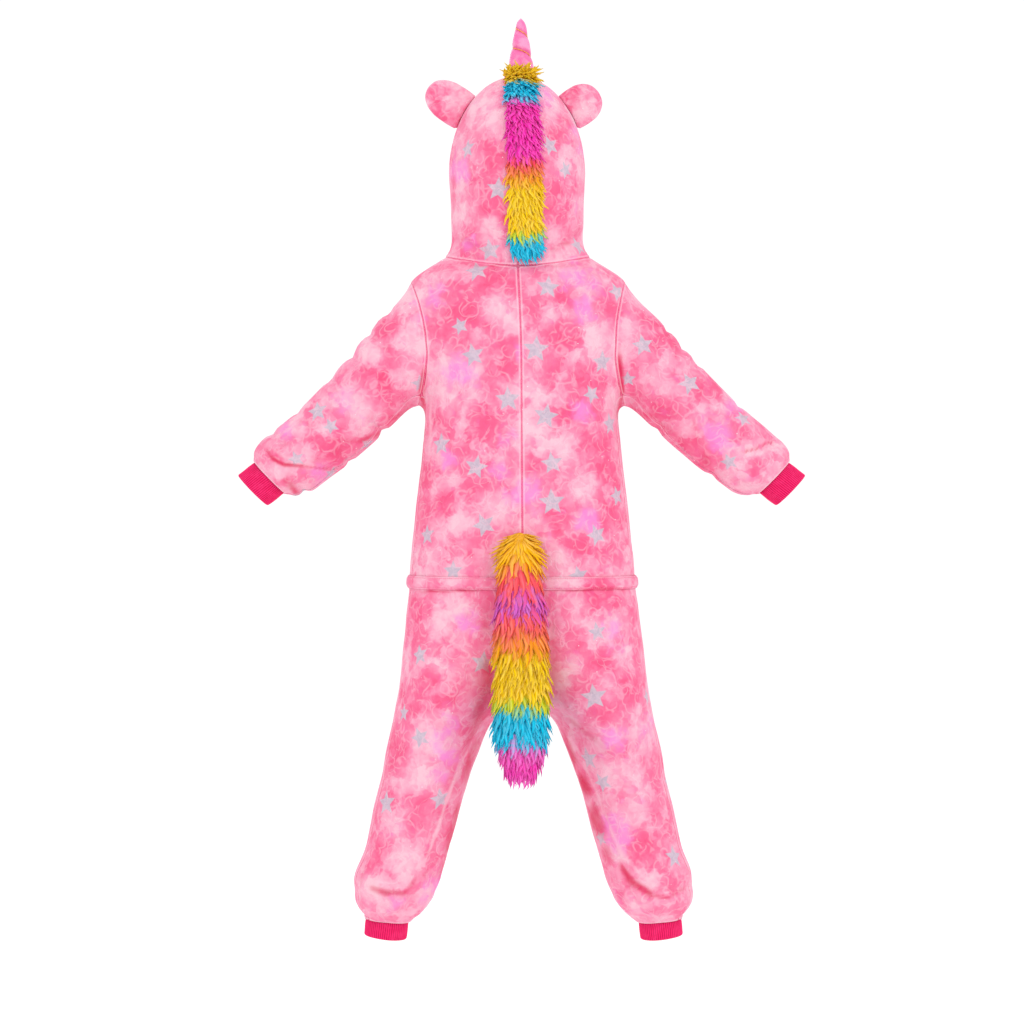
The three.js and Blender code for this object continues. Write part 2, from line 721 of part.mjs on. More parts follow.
function addHood(name, side) {
  const skin = skinOn(hood, side);
  const columns = 2 * TORSO_COLUMNS;
  const chin = settle([8, -77, -28], [[skin, 0], [neckSeam, SEAM], [faceSeam, 0]]);
  const chinBearing = Math.atan2(chin[1], chin[0]);
  const bearings = spread(columns).map((_, i) => {
    if (i === columns) return chinBearing;
    return degrees(90 - (90 * i) / TORSO_COLUMNS);
  });
  const low = bearings.map((angle) => {
    const guess = [100 * Math.cos(angle), 75 * Math.sin(angle), 0];
    return settle(guess, [[skin, 0], [neckSeam, SEAM], onBearing(angle)]);
  });
  const forehead = settle([0, -85, 200], [[skin, 0], [centreSeam, SEAM], [faceSeam, 0]]);
  const turnEnd = Math.atan2(forehead[2] - 110, forehead[1]);
  const turnStart = Math.atan2(-2 - 110, 71);
  const left = spread(HOOD_ROWS).map((t) => {
    const turn = mix(turnStart, turnEnd, t);
    return leave(skin, [SEAM, 0, 110], [0, Math.cos(turn), Math.sin(turn)]);
  });
  const facePoint = (bearing) => {
    const angle = degrees(bearing);
    const reach = FACE(bearing).reach;
    const guess = [reach * Math.cos(angle), -70, FACE_Z + reach * Math.sin(angle)];
    const line = (p) => p[0] * Math.sin(angle) - (p[2] - FACE_Z) * Math.cos(angle);
    return settle(guess, [[skin, 0], [faceSeam, 0], [line, 0]]);
  };
  const chinTurn = (Math.atan2(chin[2] - FACE_Z, chin[0]) * 180) / Math.PI;
  const right = spread(HOOD_ROWS).map((t) => facePoint(mix(chinTurn, 56, t)));
  const high = spread(columns).map((t) => facePoint(mix(90, 56, t)));
  high[0] = forehead;
  const grid = patch(low, high, left, right);
  for (const row of grid) row.forEach((p, i) => (row[i] = settle(p, [[skin, 0]])));
  relax(skin, grid, 6, 1, HOOD_ROWS);
  const seamsAt = (j, i) => {
    const rules = [];
    if (i === 0) rules.push([centreSeam, SEAM]);
    if (j === 0) rules.push([neckSeam, SEAM]);
    if (j === 0 && i > 0 && i < columns) rules.push(onBearing(bearings[i]));
    if (i === columns || j === HOOD_ROWS) rules.push([faceSeam, 0]);
    return rules;
  };
  addPanel(name, COLOUR.flannel, skin, grid, seamsAt, side);
}

// ---- Ribbed cuffs ----
// Closed profile of a cuff: distance past the seam, and radius.
function cuffProfile(length) {
  const radius = 29.4;
  return [
    [SEAM, radius - 0.5],
    [length / 2, radius + 0.2],
    [length - 2.2, radius],
    [length, radius - 0.9],
    [length, radius - RIB + 0.5],
    [length - 4, radius - RIB],
    [SEAM, radius - RIB],
  ];
}

function addCuff(name, side, length, placeAt) {
  const profile = cuffProfile(length);
  const columns = 20;
  const points = [];
  const faces = [];
  for (let i = 0; i < columns; i++) {
    for (const [far, radius] of profile) {
      points.push(placeAt(far, radius, (2 * Math.PI * i) / columns));
    }
  }
  const n = profile.length;
  for (let i = 0; i < columns; i++) {
    const next = (i + 1) % columns;
    for (let k = 0; k < n; k++) {
      const m = (k + 1) % n;
      addQuad(faces, i * n + k, next * n + k, next * n + m, i * n + m);
    }
  }
  addSolid(name, COLOUR.rib, points, faces, side);
}

function onWrist(far, radius, turn) {
  const s = SLEEVE_END + far;
  const lift = mix(36, 39.5, far / 30.5) + radius * Math.cos(turn);
  return [s * ARM_OUT + lift * ARM_DOWN, radius * Math.sin(turn), lift * ARM_OUT - s * ARM_DOWN];
}

function onAnkle(far, radius, turn) {
  const across = radius * Math.cos(turn);
  const x = ANKLE_X + far * ANKLE_TILT + across;
  return [x, 8 + radius * Math.sin(turn), LEG_END - far + (x - ANKLE_X) * ANKLE_TILT];
}

// ---- Pieces that lie on the skins ----
// A strip whose edge rests near the skin and whose middle arches away from it.
function addStrip(name, colour, skin, grid, highAt, lowAt, seamsAt) {
  const place = (heightAt) =>
    grid.map((row, j) =>
      row.map((p, i) => settle(moved(p, outward(skin, p), heightAt(j, i)), seamsAt(j, i))),
    );
  const { points, faces } = wall(place(highAt), place(lowAt));
  addSolid(name, colour, points, faces);
}

const BAND_ROWS = [
  { down: -1, high: 2.7, low: 0.9 },
  { down: -0.45, high: 4.4, low: 1.8 },
  { down: 0.45, high: 4.4, low: 1.8 },
  { down: 1, high: 2.7, low: 0.9 },
];

function addWaistband(name, face) {
  const columns = 30;
  const ends = [1, -1].map((side) => {
    const rules = [[body, 0], [sideSeam, face * SEAM], atHeight(WAIST_Z)];
    return settle([157 * side, SIDE_Y, WAIST_Z], rules);
  });
  const angles = ends.map((p) => Math.atan2(p[1], p[0]));
  const to = face > 0 ? angles[1] : angles[1] - 2 * Math.PI;
  const grid = BAND_ROWS.map((row) =>
    spread(columns).map((t) => {
      const angle = mix(angles[0], to, t);
      const z = WAIST_Z - row.down * BAND_HALF;
      return leave(body, [0, 0, z], [Math.cos(angle), Math.sin(angle), 0]);
    }),
  );
  const seamsAt = (j, i) => (i === 0 || i === columns ? [[sideSeam, face * SEAM]] : []);
  const highAt = (j) => BAND_ROWS[j].high;
  const lowAt = (j) => BAND_ROWS[j].low;
  addStrip(name, COLOUR.flannel, body, grid, highAt, lowAt, seamsAt);
}

const PLACKET_HALF = 17;
const PLACKET_WALL = 2.2;

function addPlacket() {
  const rows = 16;
  const bottom = WAIST_Z + BAND_HALF + 1.5;
  const grid = spread(rows).map((t) =>
    [-1, -0.5, 0, 0.5, 1].map((u) => {
      const z = mix(bottom, -31, t);
      const x = u * PLACKET_HALF;
      return settle([x, -90, z], [[body, 0], [(p) => p[0], x], atHeight(z)]);
    }),
  );
  const high = () => LIFT + PLACKET_WALL;
  addStrip("placket", COLOUR.flannel, body, grid, high, () => LIFT, () => []);
}

const BUTTON_RADIUS = 10;
const BUTTON_WALL = 3.6;
const HOLE_RADIUS = 1.2;
const HOLE_OUT = 2.7;

function addButton(name, z) {
  const circle = (x, y, radius, count, way) =>
    spread(count).slice(0, -1).map((t) => {
      const turn = 2 * Math.PI * t * way;
      return new THREE.Vector2(x + radius * Math.cos(turn), y + radius * Math.sin(turn));
    });
  const shape = new THREE.Shape(circle(0, 0, BUTTON_RADIUS, 18, 1));
  for (let k = 0; k < 4; k++) {
    const turn = Math.PI / 4 + (k * Math.PI) / 2;
    const [x, y] = [HOLE_OUT * Math.cos(turn), HOLE_OUT * Math.sin(turn)];
    shape.holes.push(new THREE.Path(circle(x, y, HOLE_RADIUS, 6, -1)));
  }
  const geometry = new THREE.ExtrudeGeometry(shape, { depth: BUTTON_WALL, bevelEnabled: false });
  const seat = settle([0, -100, z], [[body, 0], [centreSeam, 0], atHeight(z)]);
  const out = outward(body, seat);
  const place = moved(seat, out, LIFT + PLACKET_WALL + 0.35);
  const turn = new THREE.Quaternion().setFromUnitVectors(
    new THREE.Vector3(0, 0, 1),
    new THREE.Vector3(...out),
  );
  geometry.applyQuaternion(turn);
  geometry.translate(place[0] + LEAN(z).by, place[1], place[2]);
  const material = new THREE.MeshStandardMaterial({
    color: COLOUR.button,
    roughness: 0.35,
    metalness: 0,
  });
  const mesh = new THREE.Mesh(geometry, material);
  mesh.name = name;
  root.add(mesh);
}

const MANE_HALF = 26;
const MANE_LIFT = 0.8; // at the crown; the neck's hollow needs more
const MANE_STARTS = 92; // bearing of its front end over the crown, in degrees above level back
const MANE_ENDS = -51;
const MANE_DRIFT = [-2, -9]; // its middle, from crown to neck

function addMane() {
  const rows = 17;
  const across = [-1, -0.75, -0.4, 0, 0.4, 0.75, 1];
  const grid = spread(rows).map((t) => {
    const turn = degrees(mix(MANE_STARTS, MANE_ENDS, t));
    const middle = leave(hood, [0, 0, 110], [0, Math.cos(turn), Math.sin(turn)]);
    return across.map((u) => {
      const x = u * MANE_HALF + mix(...MANE_DRIFT, t);
      const slope = outward(hood, middle);
      const line = (p) => (p[1] - middle[1]) * slope[2] - (p[2] - middle[2]) * slope[1];
      return settle([x, middle[1], middle[2]], [[hood, 0], [(p) => p[0], x], [line, 0]]);
    });
  });
  const highAt = (j, i) => {
    const t = j / rows;
    const full = mix(16, 13, t);
    const edge = 1 - 0.62 * Math.abs(across[i]) ** 2.2;
    const ends = Math.min(1, 0.55 + 4 * t) * Math.min(1, 0.5 + 6 * (1 - t));
    return full * edge * ends;
  };
  addStrip("mane", COLOUR.mane, hood, grid, highAt, (j) => MANE_LIFT + (1.6 * j) / rows, () => []);
}

// ---- Stuffed pieces: rings closed by a cap at each end ----
// Keeps every point of a stuffed piece off the skin under it.
function clear(skin, p, gap) {
  return skin(p) < gap ? settle(p, [[skin, gap]]) : p;
}

function loft(rings, capPoint, tipPoint) {
  const n = rings[0].length;
  const points = [...rings.flat(), capPoint, tipPoint];
  const faces = [];
  for (let j = 0; j < rings.length - 1; j++) {
    for (let i = 0; i < n; i++) {
      const k = (i + 1) % n;
      addQuad(faces, j * n + i, j * n + k, (j + 1) * n + k, (j + 1) * n + i);
    }
  }
  const cap = rings.length * n;
  for (let i = 0; i < n; i++) {
    const k = (i + 1) % n;
    const end = (rings.length - 1) * n;
    faces.push([k, i, cap], [end + i, end + k, cap + 1]);
  }
  return { points, faces };
}

const EAR_FOOT = [72, 0, 220];
const EAR_OUT = [0.832, 0, 0.555];
const EAR_UP = [-0.555, 0, 0.832];
const EAR_STEPS = [2, 9, 17, 27, 37, 46, 53, 59, 63];

function addEar(name, side, length) {
  const stretch = length / 64.5;
  const skin = skinOn(hood, side);
  const columns = 18;
  const gap = 0.4;
  const ringAt = (far, shrink) =>
    spread(columns).slice(0, -1).map((t) => {
      const row = EAR(far);
      const turn = 2 * Math.PI * t;
      const wide = shrink * row.half * Math.cos(turn);
      const thick = shrink * row.thick * Math.sin(turn);
      const p = moved(moved(EAR_FOOT, EAR_OUT, far * stretch), EAR_UP, wide);
      return clear(skin, [p[0], p[1] + thick, p[2]], gap);
    });
  const rings = [ringAt(-10, 0.35), ringAt(-10, 0.7), ...EAR_STEPS.map((far) => ringAt(far, 1))];
  const foot = clear(skin, moved(EAR_FOOT, EAR_OUT, -8), gap);
  const { points, faces } = loft(rings, foot, moved(EAR_FOOT, EAR_OUT, length));
  addSolid(name, COLOUR.ear, points, faces, side);
}

const HORN_FOOT = [-5.5, -35, 256];
const HORN_UP = [0, -0.1, 0.995];
const HORN_BACK = [0, 0.995, 0.1];
const HORN_STEPS = [6, 14, 20, 26, 32, 38, 45, 52, 58, 65, 72, 78, 84, 91, 97, 102, 106];
const SPIRAL_PITCH = 29;
const SPIRAL_DEPTH = 0.13; // of the horn's radius

function addHorn() {
  const columns = 16;
  const gap = 0.4;
  const ringAt = (far, shrink) =>
    spread(columns).slice(0, -1).map((t) => {
      const turn = 2 * Math.PI * t;
      const phase = 2 * Math.PI * ((far - 8) / SPIRAL_PITCH + t);
      const groove = ease(22, 30, far) * SPIRAL_DEPTH * (0.5 - 0.5 * Math.cos(phase)) ** 6;
      const radius = shrink * HORN(far).radius * (1 - groove);
      let p = moved(HORN_FOOT, HORN_UP, far);
      p = moved(p, HORN_BACK, radius * Math.sin(turn));
      p[0] += radius * Math.cos(turn);
      return clear(hood, p, gap);
    });
  const rings = [
    ringAt(0, 0.34),
    ringAt(0, 0.67),
    ...HORN_STEPS.map((far) => ringAt(far, 1)),
  ];
  const foot = clear(hood, HORN_FOOT, gap);
  const { points, faces } = loft(rings, foot, moved(HORN_FOOT, HORN_UP, 107.3));
  addSolid("horn", COLOUR.horn, points, faces, 1, 0.45);
}

const TAIL_STEPS = [
  -366, -371, -381, -395, -414, -440, -472, -506, -542, -578, -612, -643, -667, -685, -697, -704,
];
const TAIL_SHIFT = 3.5;
const TAIL_LEVEL = -540; // below this the tail hangs straight down

function addTail() {
  const columns = 16;
  const backAt = (z) => {
    const height = atHeight(Math.max(z, TAIL_LEVEL));
    return settle([0, 100, height[1]], [[body, 0], [centreSeam, 0], height])[1];
  };
  const rings = TAIL_STEPS.map((z) => {
    const row = TAIL(z);
    const middle = backAt(z) + row.gap + row.thick;
    return spread(columns).slice(0, -1).map((t) => {
      const turn = 2 * Math.PI * t;
      const x = TAIL_SHIFT + row.half * Math.cos(turn);
      const p = [x, middle + row.thick * Math.sin(turn), z];
      return clear(body, p, row.gap);
    });
  });
  const top = [TAIL_SHIFT, backAt(-365) + 5.6, -364.6];
  const low = [TAIL_SHIFT, backAt(-707) + 8 + 6, -707];
  const { points, faces } = loft(rings, top, low);
  addSolid("tail", COLOUR.tail, points, faces);
}

// ---- The onesie ----
for (const [word, side] of [["left", 1], ["right", -1]]) {
  addTorsoPanel(`back_${word}`, side, 1);
  addTorsoPanel(`front_${word}`, side, -1);
  addSleeve(`sleeve_${word}`, side);
  addCuff(`sleeve_cuff_${word}`, side, CUFF_END - SLEEVE_END, onWrist);
  addLegPanel(`leg_back_${word}`, side, 1);
  addLegPanel(`leg_front_${word}`, side, -1);
  addCuff(`ankle_cuff_${word}`, side, LEG_END - ANKLE_END, onAnkle);
  addHood(`hood_${word}`, side);
  addEar(`ear_${word}`, side, side > 0 ? 63.5 : 51);
}
addWaistband("waistband_back", 1);
addWaistband("waistband_front", -1);
addPlacket();
BUTTONS_Z.forEach((z, i) => addButton(`button_${i + 1}`, z));
addMane();
addHorn();
addTail();

export default root;
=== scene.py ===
"""Unicorn kigurumi onesie: cloth panels, ribbed cuffs, stuffed ears and horn, and fur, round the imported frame.

Each piece is worked out in millimetres, on the left side of the body, by measures: functions that are nought on
a skin or a seam. settle() moves points on to them, and place() turns the result into metres on either side.
"""

import math

import bpy
import numpy as np
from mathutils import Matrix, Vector


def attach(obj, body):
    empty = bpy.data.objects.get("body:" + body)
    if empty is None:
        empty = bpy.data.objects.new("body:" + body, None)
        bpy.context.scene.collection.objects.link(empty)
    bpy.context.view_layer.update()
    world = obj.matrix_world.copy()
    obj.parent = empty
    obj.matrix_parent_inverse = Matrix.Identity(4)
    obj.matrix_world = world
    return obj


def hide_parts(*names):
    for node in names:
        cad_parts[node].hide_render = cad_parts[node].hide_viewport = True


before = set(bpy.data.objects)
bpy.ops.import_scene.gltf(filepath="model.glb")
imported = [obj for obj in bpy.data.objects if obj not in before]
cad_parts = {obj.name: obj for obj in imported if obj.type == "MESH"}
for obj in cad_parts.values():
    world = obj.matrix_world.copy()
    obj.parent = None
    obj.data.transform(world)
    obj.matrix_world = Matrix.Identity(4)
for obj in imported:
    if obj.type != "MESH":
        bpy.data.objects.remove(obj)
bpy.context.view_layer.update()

# ---------------------------------------------------------------- sizes, in millimetres of MM metres
MM = 0.001
TURN = 2 * math.pi
CLOTH = 2.2
SEAM = 0.15
ARM_OUT, ARM_DOWN = 0.719, 0.695
SLEEVE_START, SLEEVE_END, CUFF_END = 105, 455, 485.5
WAIST_Z, BAND_HALF = -436, 9
HIP_TOP, HIP_BOTTOM = -500, -590
LEG_END, ANKLE_END = -906, -932
ANKLE_X, ANKLE_TILT = 189.8, 0.12
SIDE_Y, INSEAM_Y = 30, 6
ARMHOLE_TOP, ARMHOLE_BOTTOM, ARMHOLE_MID = -18, -185, -100
CROWN_Z, CROWN_HEIGHT, FACE_Z = 134, 135, 95
ARMHOLE_X, ARMHOLE_REACH = 145, 80
NECK_HALF, NECK_DEPTH = 100, 74
NECK_SIDE_Z, NECK_BACK_Z, NECK_FRONT_Z = 16, -2, -28
CROTCH_Z, SEAT_Z = -600, -502
HOOD_MIDDLE = 110
BODY_SQUARE, LEG_SQUARE, SLEEVE_SQUARE = 2.35, 2.1, 2.05
LEG_BLEND, SLEEVE_BLEND, ARMPIT_BLEND = 46, 24, 30
CAMERA = np.array([12.6, 3100.0, -339.0])
# Stars, dye and lines are charted as seen from behind: the charts' middle, and their unit at y 0.
CHART_MIDDLE, CHART_UNIT = 512, 1.4


class Table:
    """Named columns, read between rows along a smooth curve that never overshoots."""

    def __init__(self, names, rows):
        data = np.array(sorted(rows), float)
        secant = np.diff(data, axis=0) / np.diff(data[:, :1], axis=0)
        slope = np.empty_like(data)
        slope[0], slope[-1] = secant[0], secant[-1]
        same = secant[:-1] * secant[1:] > 0
        total = np.where(same, secant[:-1] + secant[1:], 1)
        slope[1:-1] = np.where(same, 2 * secant[:-1] * secant[1:] / total, 0)
        self.names, self.data, self.slope = names, data, slope

    def __call__(self, key):
        data, key = self.data, np.clip(np.asarray(key, float), self.data[0, 0], self.data[-1, 0])
        i = np.clip(np.searchsorted(data[:, 0], key) - 1, 0, len(data) - 2)
        span = data[i + 1, 0] - data[i, 0]
        t = ((key - data[i, 0]) / span)[..., None]
        span = span[..., None]
        found = (
            (2 * t**3 - 3 * t**2 + 1) * data[i]
            + (t**3 - 2 * t**2 + t) * span * self.slope[i]
            + (3 * t**2 - 2 * t**3) * data[i + 1]
            + (t**3 - t**2) * span * self.slope[i + 1]
        )
        return {name: found[..., c] for c, name in enumerate(self.names)}


TORSO = Table(("z", "half", "back", "front"), [
    (30, 78, 50, 50), (16, 100, 58, 52), (0, 124, 72, 64), (-18, 142, 84, 74), (-60, 145, 92, 82),
    (-120, 140, 97, 92), (-185, 135, 96, 96), (-238, 138, 96, 97), (-294, 143.5, 98, 100),
    (-350, 150, 103, 105), (-406, 156, 108, 106), (-440, 158, 112, 108), (-473, 162, 115, 109),
    (-507, 165, 117, 110), (-540, 169, 116, 110), (-574, 173, 113, 109), (-600, 177, 108, 106),
])
SLEEVE = Table(("along", "rise", "height", "depth"), [
    (100, 26, 55, 54), (150, 26, 59, 57), (200, 26, 58, 55), (250, 24, 55, 53), (311, 23, 53, 50),
    (355, 24, 51.5, 49), (400, 28, 50.5, 48), (425, 31, 49, 47), (438, 33, 46, 44.5),
    (447, 35, 41, 40), (452, 36, 35.5, 35), (455, 36, 31.5, 31),
])
LEG = Table(("z", "centre", "half", "depth", "back"), [
    (-500, 80, 85, 112, 3), (-560, 88, 83, 109, 3), (-600, 97, 80, 103, 2), (-641, 116.5, 68.5, 91, 1),
    (-675, 127, 65.5, 82, 0), (-708, 136, 62, 76, 0), (-742, 146, 61, 72, 1), (-776, 153.7, 60, 69, 3),
    (-809, 162.3, 58.7, 67, 5), (-843, 174.4, 59.6, 66, 7), (-860, 179.5, 57.5, 64, 8),
    (-874, 182.3, 54.3, 60, 8), (-887, 186, 48.5, 53, 8), (-898, 188.5, 40, 43, 8), (-906, 189.8, 31.5, 32, 8),
])
HOOD = Table(("z", "half", "back", "front"), [
    (-28, 100, 70, 78), (-2, 100.5, 71.5, 77), (16, 100, 76, 78), (28, 94, 80, 80), (41, 92, 86, 84),
    (88, 93.5, 106, 96), (134, 95.5, 114, 100),
])
FACE = Table(("bearing", "reach"), [
    (-90, 129), (-86.3, 123.3), (-72.5, 99.6), (-45, 77.8), (0, 68), (42.5, 81.4), (68.2, 96.9), (90, 105),
])
HORN = Table(("along", "radius"), [
    (0, 25), (10, 25.3), (20, 24), (27, 20.5), (34, 18), (47, 15.8), (60, 13.6), (72, 11.8), (83, 9.4),
    (95, 7.4), (102, 4.6), (106.5, 0.8),
])
EAR = Table(("along", "half", "thick"), [
    (-14, 24, 7), (0, 27, 9), (16, 28.5, 11), (32, 28, 11.5), (46, 24.5, 10.5), (56, 18.5, 8), (62, 11, 5),
    (64.5, 2, 1.2),
])
TAIL = Table(("z", "half", "thick", "gap"), [
    (-366, 6, 5, 0.6), (-372, 15, 11, 0.6), (-386, 23, 17, 0.6), (-406, 29, 21, 1.5), (-430, 33, 23, 6.5),
    (-470, 36.5, 25, 7.5), (-520, 39, 26, 8), (-570, 40.5, 27, 8), (-620, 40, 27, 8), (-660, 36.5, 26, 8),
    (-685, 29, 22, 8), (-700, 19, 15, 8), (-707, 7, 6, 8),
])
LEAN = Table(("z", "by"), [
    (-930, -3.5), (-600, -3.5), (-450, -2), (-300, -1), (-120, 0), (-60, 2), (0, 4.5), (60, 5), (300, 5.5),
])
# Large folds: from x z, to x z, how far out, half-width, face (1 back, -1 front).
FOLDS = [
    (354, -259, 260, -280, -4.5, 11, 1), (300, -232, 338, -262, 3.5, 13, 1), (205, -150, 250, -175, 3, 16, 1),
    (-314, -260, -356, -238, -4.5, 11, 1), (-262, -205, -300, -250, -3, 14, 1),
    (-205, -130, -240, -165, 3, 16, 1), (43, -602, 71, -686, -5, 13, 1), (71, -686, 127, -826, -3, 14, 1),
    (-45, -619, -97, -658, -5, 12, 1), (-69, -665, -139, -854, -3.5, 14, 1), (-167, -861, -237, -854, -4, 11, 1),
    (232, -866, 150, -872, -3.5, 11, 1), (120, -640, 165, -700, 3, 18, 1), (-150, -650, -165, -740, 3, 18, 1),
    (95, -150, 140, -120, -3, 14, 1), (-95, -155, -140, -122, -3, 14, 1), (60, -470, 110, -540, -2.5, 16, 1),
    (-75, -468, -120, -545, -2.5, 16, 1), (60, -620, 130, -800, -3.5, 14, -1),
    (-60, -620, -130, -800, -3.5, 14, -1), (188, -54, 166, -82, -2.6, 6, 0), (212, -88, 186, -110, -3.6, 5, 0),
    (238, -120, 212, -140, -3.4, 6, 0), (273, -150, 246, -172, -3.2, 5, 0), (318, -196, 290, -214, -2.6, 6, 0),
    (349, -228, 330, -246, -3.2, 6, 0), (186, -234, 206, -214, -5, 6, 0), (236, -276, 250, -256, -3.5, 6, 0),
    (302, -316, 318, -292, -6, 7, 0), (-206, -84, -188, -106, -3.5, 6, 0), (-230, -104, -212, -124, -3.5, 6, 0),
    (-249, -128, -228, -150, -4, 6, 0), (-306, -188, -286, -208, -3, 6, 0), (-190, -224, -206, -204, -3, 7, 0),
    (-262, -296, -272, -272, -3, 7, 0), (196, -70, 178, -92, 1.5, 9, 0), (226, -104, 204, -126, 2, 9, 0),
    (254, -134, 230, -156, 1.6, 9, 0),
]
HOOD_FOLDS = [
    (71, 42, 50, 20, 2.5, 12, 1), (-97, 49, -48, 21, -3, 9, 1), (60, 150, 30, 60, 2, 20, 1),
    (-66, 130, -40, 70, -1.8, 16, 1),
]
# Finer creases, uneven in length and depth.
CREASES = [
    (352, -252, 312, -282, -2.2, 4.5, 1), (338, -240, 300, -262, -1.6, 4, 1), (322, -286, 262, -262, -1.8, 5, 1),
    (372, -262, 350, -300, -1.4, 4, 1), (286, -222, 262, -236, -1.2, 5, 1), (248, -262, 222, -230, -1.5, 5, 1),
    (-318, -262, -352, -242, -2.2, 4.5, 1), (-300, -272, -336, -300, -1.6, 4.5, 1),
    (-330, -300, -346, -272, -1.3, 4, 1), (-286, -232, -270, -262, -1.4, 5, 1),
    (-246, -196, -226, -232, -1.3, 5, 1), (-212, -120, -240, -150, -1.1, 6, 1),
    (150, -182, 176, -150, -2.0, 6, 1), (152, -190, 196, -178, -1.6, 5, 1), (138, -196, 118, -150, -1.5, 6, 1),
    (-150, -184, -178, -150, -2.0, 6, 1), (-152, -190, -200, -182, -1.6, 5, 1),
    (-137, -198, -115, -160, -1.5, 6, 1), (139, -215, 100, -240, -1.2, 7, 1),
    (-139, -220, -104, -250, -1.2, 7, 1), (130, -330, 152, -400, -1.0, 9, 1),
    (-128, -320, -152, -390, -1.0, 9, 1), (150, -452, 120, -500, -1.3, 6, 1),
    (-152, -455, -118, -510, -1.3, 6, 1), (20, -560, 60, -612, -1.8, 6, 1), (-16, -566, -62, -620, -1.8, 6, 1),
    (36, -600, 66, -668, -2.2, 5, 1), (-40, -612, -92, -650, -2.6, 5, 1), (-58, -640, -100, -676, -1.7, 5, 1),
    (62, -660, 104, -740, -2.0, 5, 1), (-66, -668, -96, -740, -2.0, 5, 1), (100, -740, 130, -820, -1.5, 5, 1),
    (-100, -742, -140, -850, -1.8, 5, 1), (150, -870, 190, -862, -2.4, 4.5, 1),
    (190, -862, 226, -872, -1.6, 4, 1), (128, -840, 158, -880, -1.4, 4.5, 1),
    (-168, -866, -204, -856, -2.6, 4.5, 1), (-204, -856, -238, -862, -1.8, 4, 1),
    (-136, -838, -156, -884, -1.5, 4.5, 1), (160, -700, 186, -720, -1.0, 6, 1),
    (-168, -700, -190, -730, -1.0, 6, 1), (150, -770, 190, -790, -1.1, 6, 1),
    (-160, -790, -205, -800, -1.1, 6, 1), (40, -30, 90, -12, -0.9, 7, 1), (-44, -32, -92, -14, -0.9, 7, 1),
    (50, -600, 110, -690, -2.0, 6, -1), (-50, -600, -106, -690, -2.0, 6, -1), (30, -560, 90, -590, -1.6, 6, -1),
    (-30, -560, -84, -596, -1.6, 6, -1), (150, -182, 180, -150, -2.0, 6, -1),
    (-150, -182, -180, -150, -2.0, 6, -1), (110, -700, 150, -720, -1.3, 6, -1),
    (-116, -706, -150, -730, -1.3, 6, -1), (120, -860, 200, -872, -2.0, 5, -1),
    (-120, -862, -204, -870, -2.0, 5, -1), (330, -250, 300, -290, -1.8, 5, -1),
    (-330, -250, -300, -290, -1.8, 5, -1), (250, -190, 232, -230, -1.4, 6, -1),
    (-250, -190, -232, -230, -1.4, 6, -1), (60, -452, 84, -500, -1.1, 7, -1), (-60, -452, -84, -505, -1.1, 7, -1),
]
HOOD_CREASES = [
    (-96, 50, -50, 22, -2.0, 4.5, 1), (-92, 36, -60, 14, -1.2, 4, 1), (72, 44, 52, 18, 1.4, 6, 1),
    (84, 40, 66, 14, -1.5, 4, 1), (60, 40, 36, 18, -1.2, 4, 1), (96, 90, 70, 60, -0.9, 7, 1),
    (-96, 100, -72, 66, -0.9, 7, 1), (60, 190, 80, 150, -0.8, 8, 1),
]


# ---------------------------------------------------------------- arithmetic on many points at once
def ease(low, high, value):
    """Rises smoothly from 0 at low to 1 at high."""
    t = np.clip((value - low) / (high - low), 0, 1)
    return t * t * (3 - 2 * t)


def blend(a, b, k):
    """The smaller of two measures, with the corner between them rounded over a width k."""
    near = np.maximum(k - np.abs(a - b), 0) / k
    return np.minimum(a, b) - near * near * k / 4


def gradient(measure, p, step=0.01):
    """How fast a measure grows along each axis at the points."""
    shifts = np.concatenate([np.eye(3), -np.eye(3)]) * step
    many = (p[None] + shifts[:, None]).reshape(-1, 3)
    values = measure(many).reshape(6, -1)
    return ((values[:3] - values[3:]) / (2 * step)).T


def unit(vectors):
    return vectors / np.linalg.norm(vectors, axis=-1, keepdims=True)


def outward(measure, p):
    """The way out of a skin at the points."""
    return unit(gradient(measure, p))


def settle(p, rules, rounds=12):
    """Moves points the shortest way until each rule's measure, of (measure, level), has its level there."""
    p = np.array(p, float)
    for _ in range(rounds):
        misses = np.stack([level - measure(p) for measure, level in rules], axis=1)
        if np.abs(misses).max() < 1e-4:
            break
        slopes = np.stack([gradient(measure, p) for measure, _ in rules], axis=1)
        square = slopes @ slopes.transpose(0, 2, 1) + 1e-7 * np.eye(len(rules))
        weights = np.linalg.solve(square, misses[..., None])
        step = (slopes * weights).sum(axis=1)
        length = np.linalg.norm(step, axis=1, keepdims=True)
        p += step * np.minimum(1, 10 / np.maximum(length, 1e-9))
    return p


def leave(skin, start, direction):
    """The first places where rays from inside a skin leave it."""
    inside = np.zeros(len(start))
    outside = np.zeros(len(start))
    for _ in range(100):
        still = skin(start + direction * outside[:, None]) < 0
        if not still.any():
            break
        inside = np.where(still, outside, inside)
        outside = np.where(still, outside + 4, outside)
    for _ in range(24):
        half = (inside + outside) / 2
        within = skin(start + direction * half[:, None]) < 0
        inside, outside = np.where(within, half, inside), np.where(within, outside, half)
    return start + direction * inside[:, None]


def cloud(p, size, seed):
    """Soft noise from -1 to 1 over points, with lumps of about the given size."""
    grid = np.random.RandomState(seed).rand(24, 24, 24)
    q = np.asarray(p) / size + 100.0
    i = np.floor(q).astype(int)
    f = q - i
    f = f * f * (3 - 2 * f)
    total = 0
    for corner in np.ndindex(2, 2, 2):
        c = np.array(corner)
        weight = np.prod(np.where(c, f, 1 - f), axis=-1)
        j = (i + c) % 24
        total = total + weight * grid[j[..., 0], j[..., 1], j[..., 2]]
    return total * 2 - 1


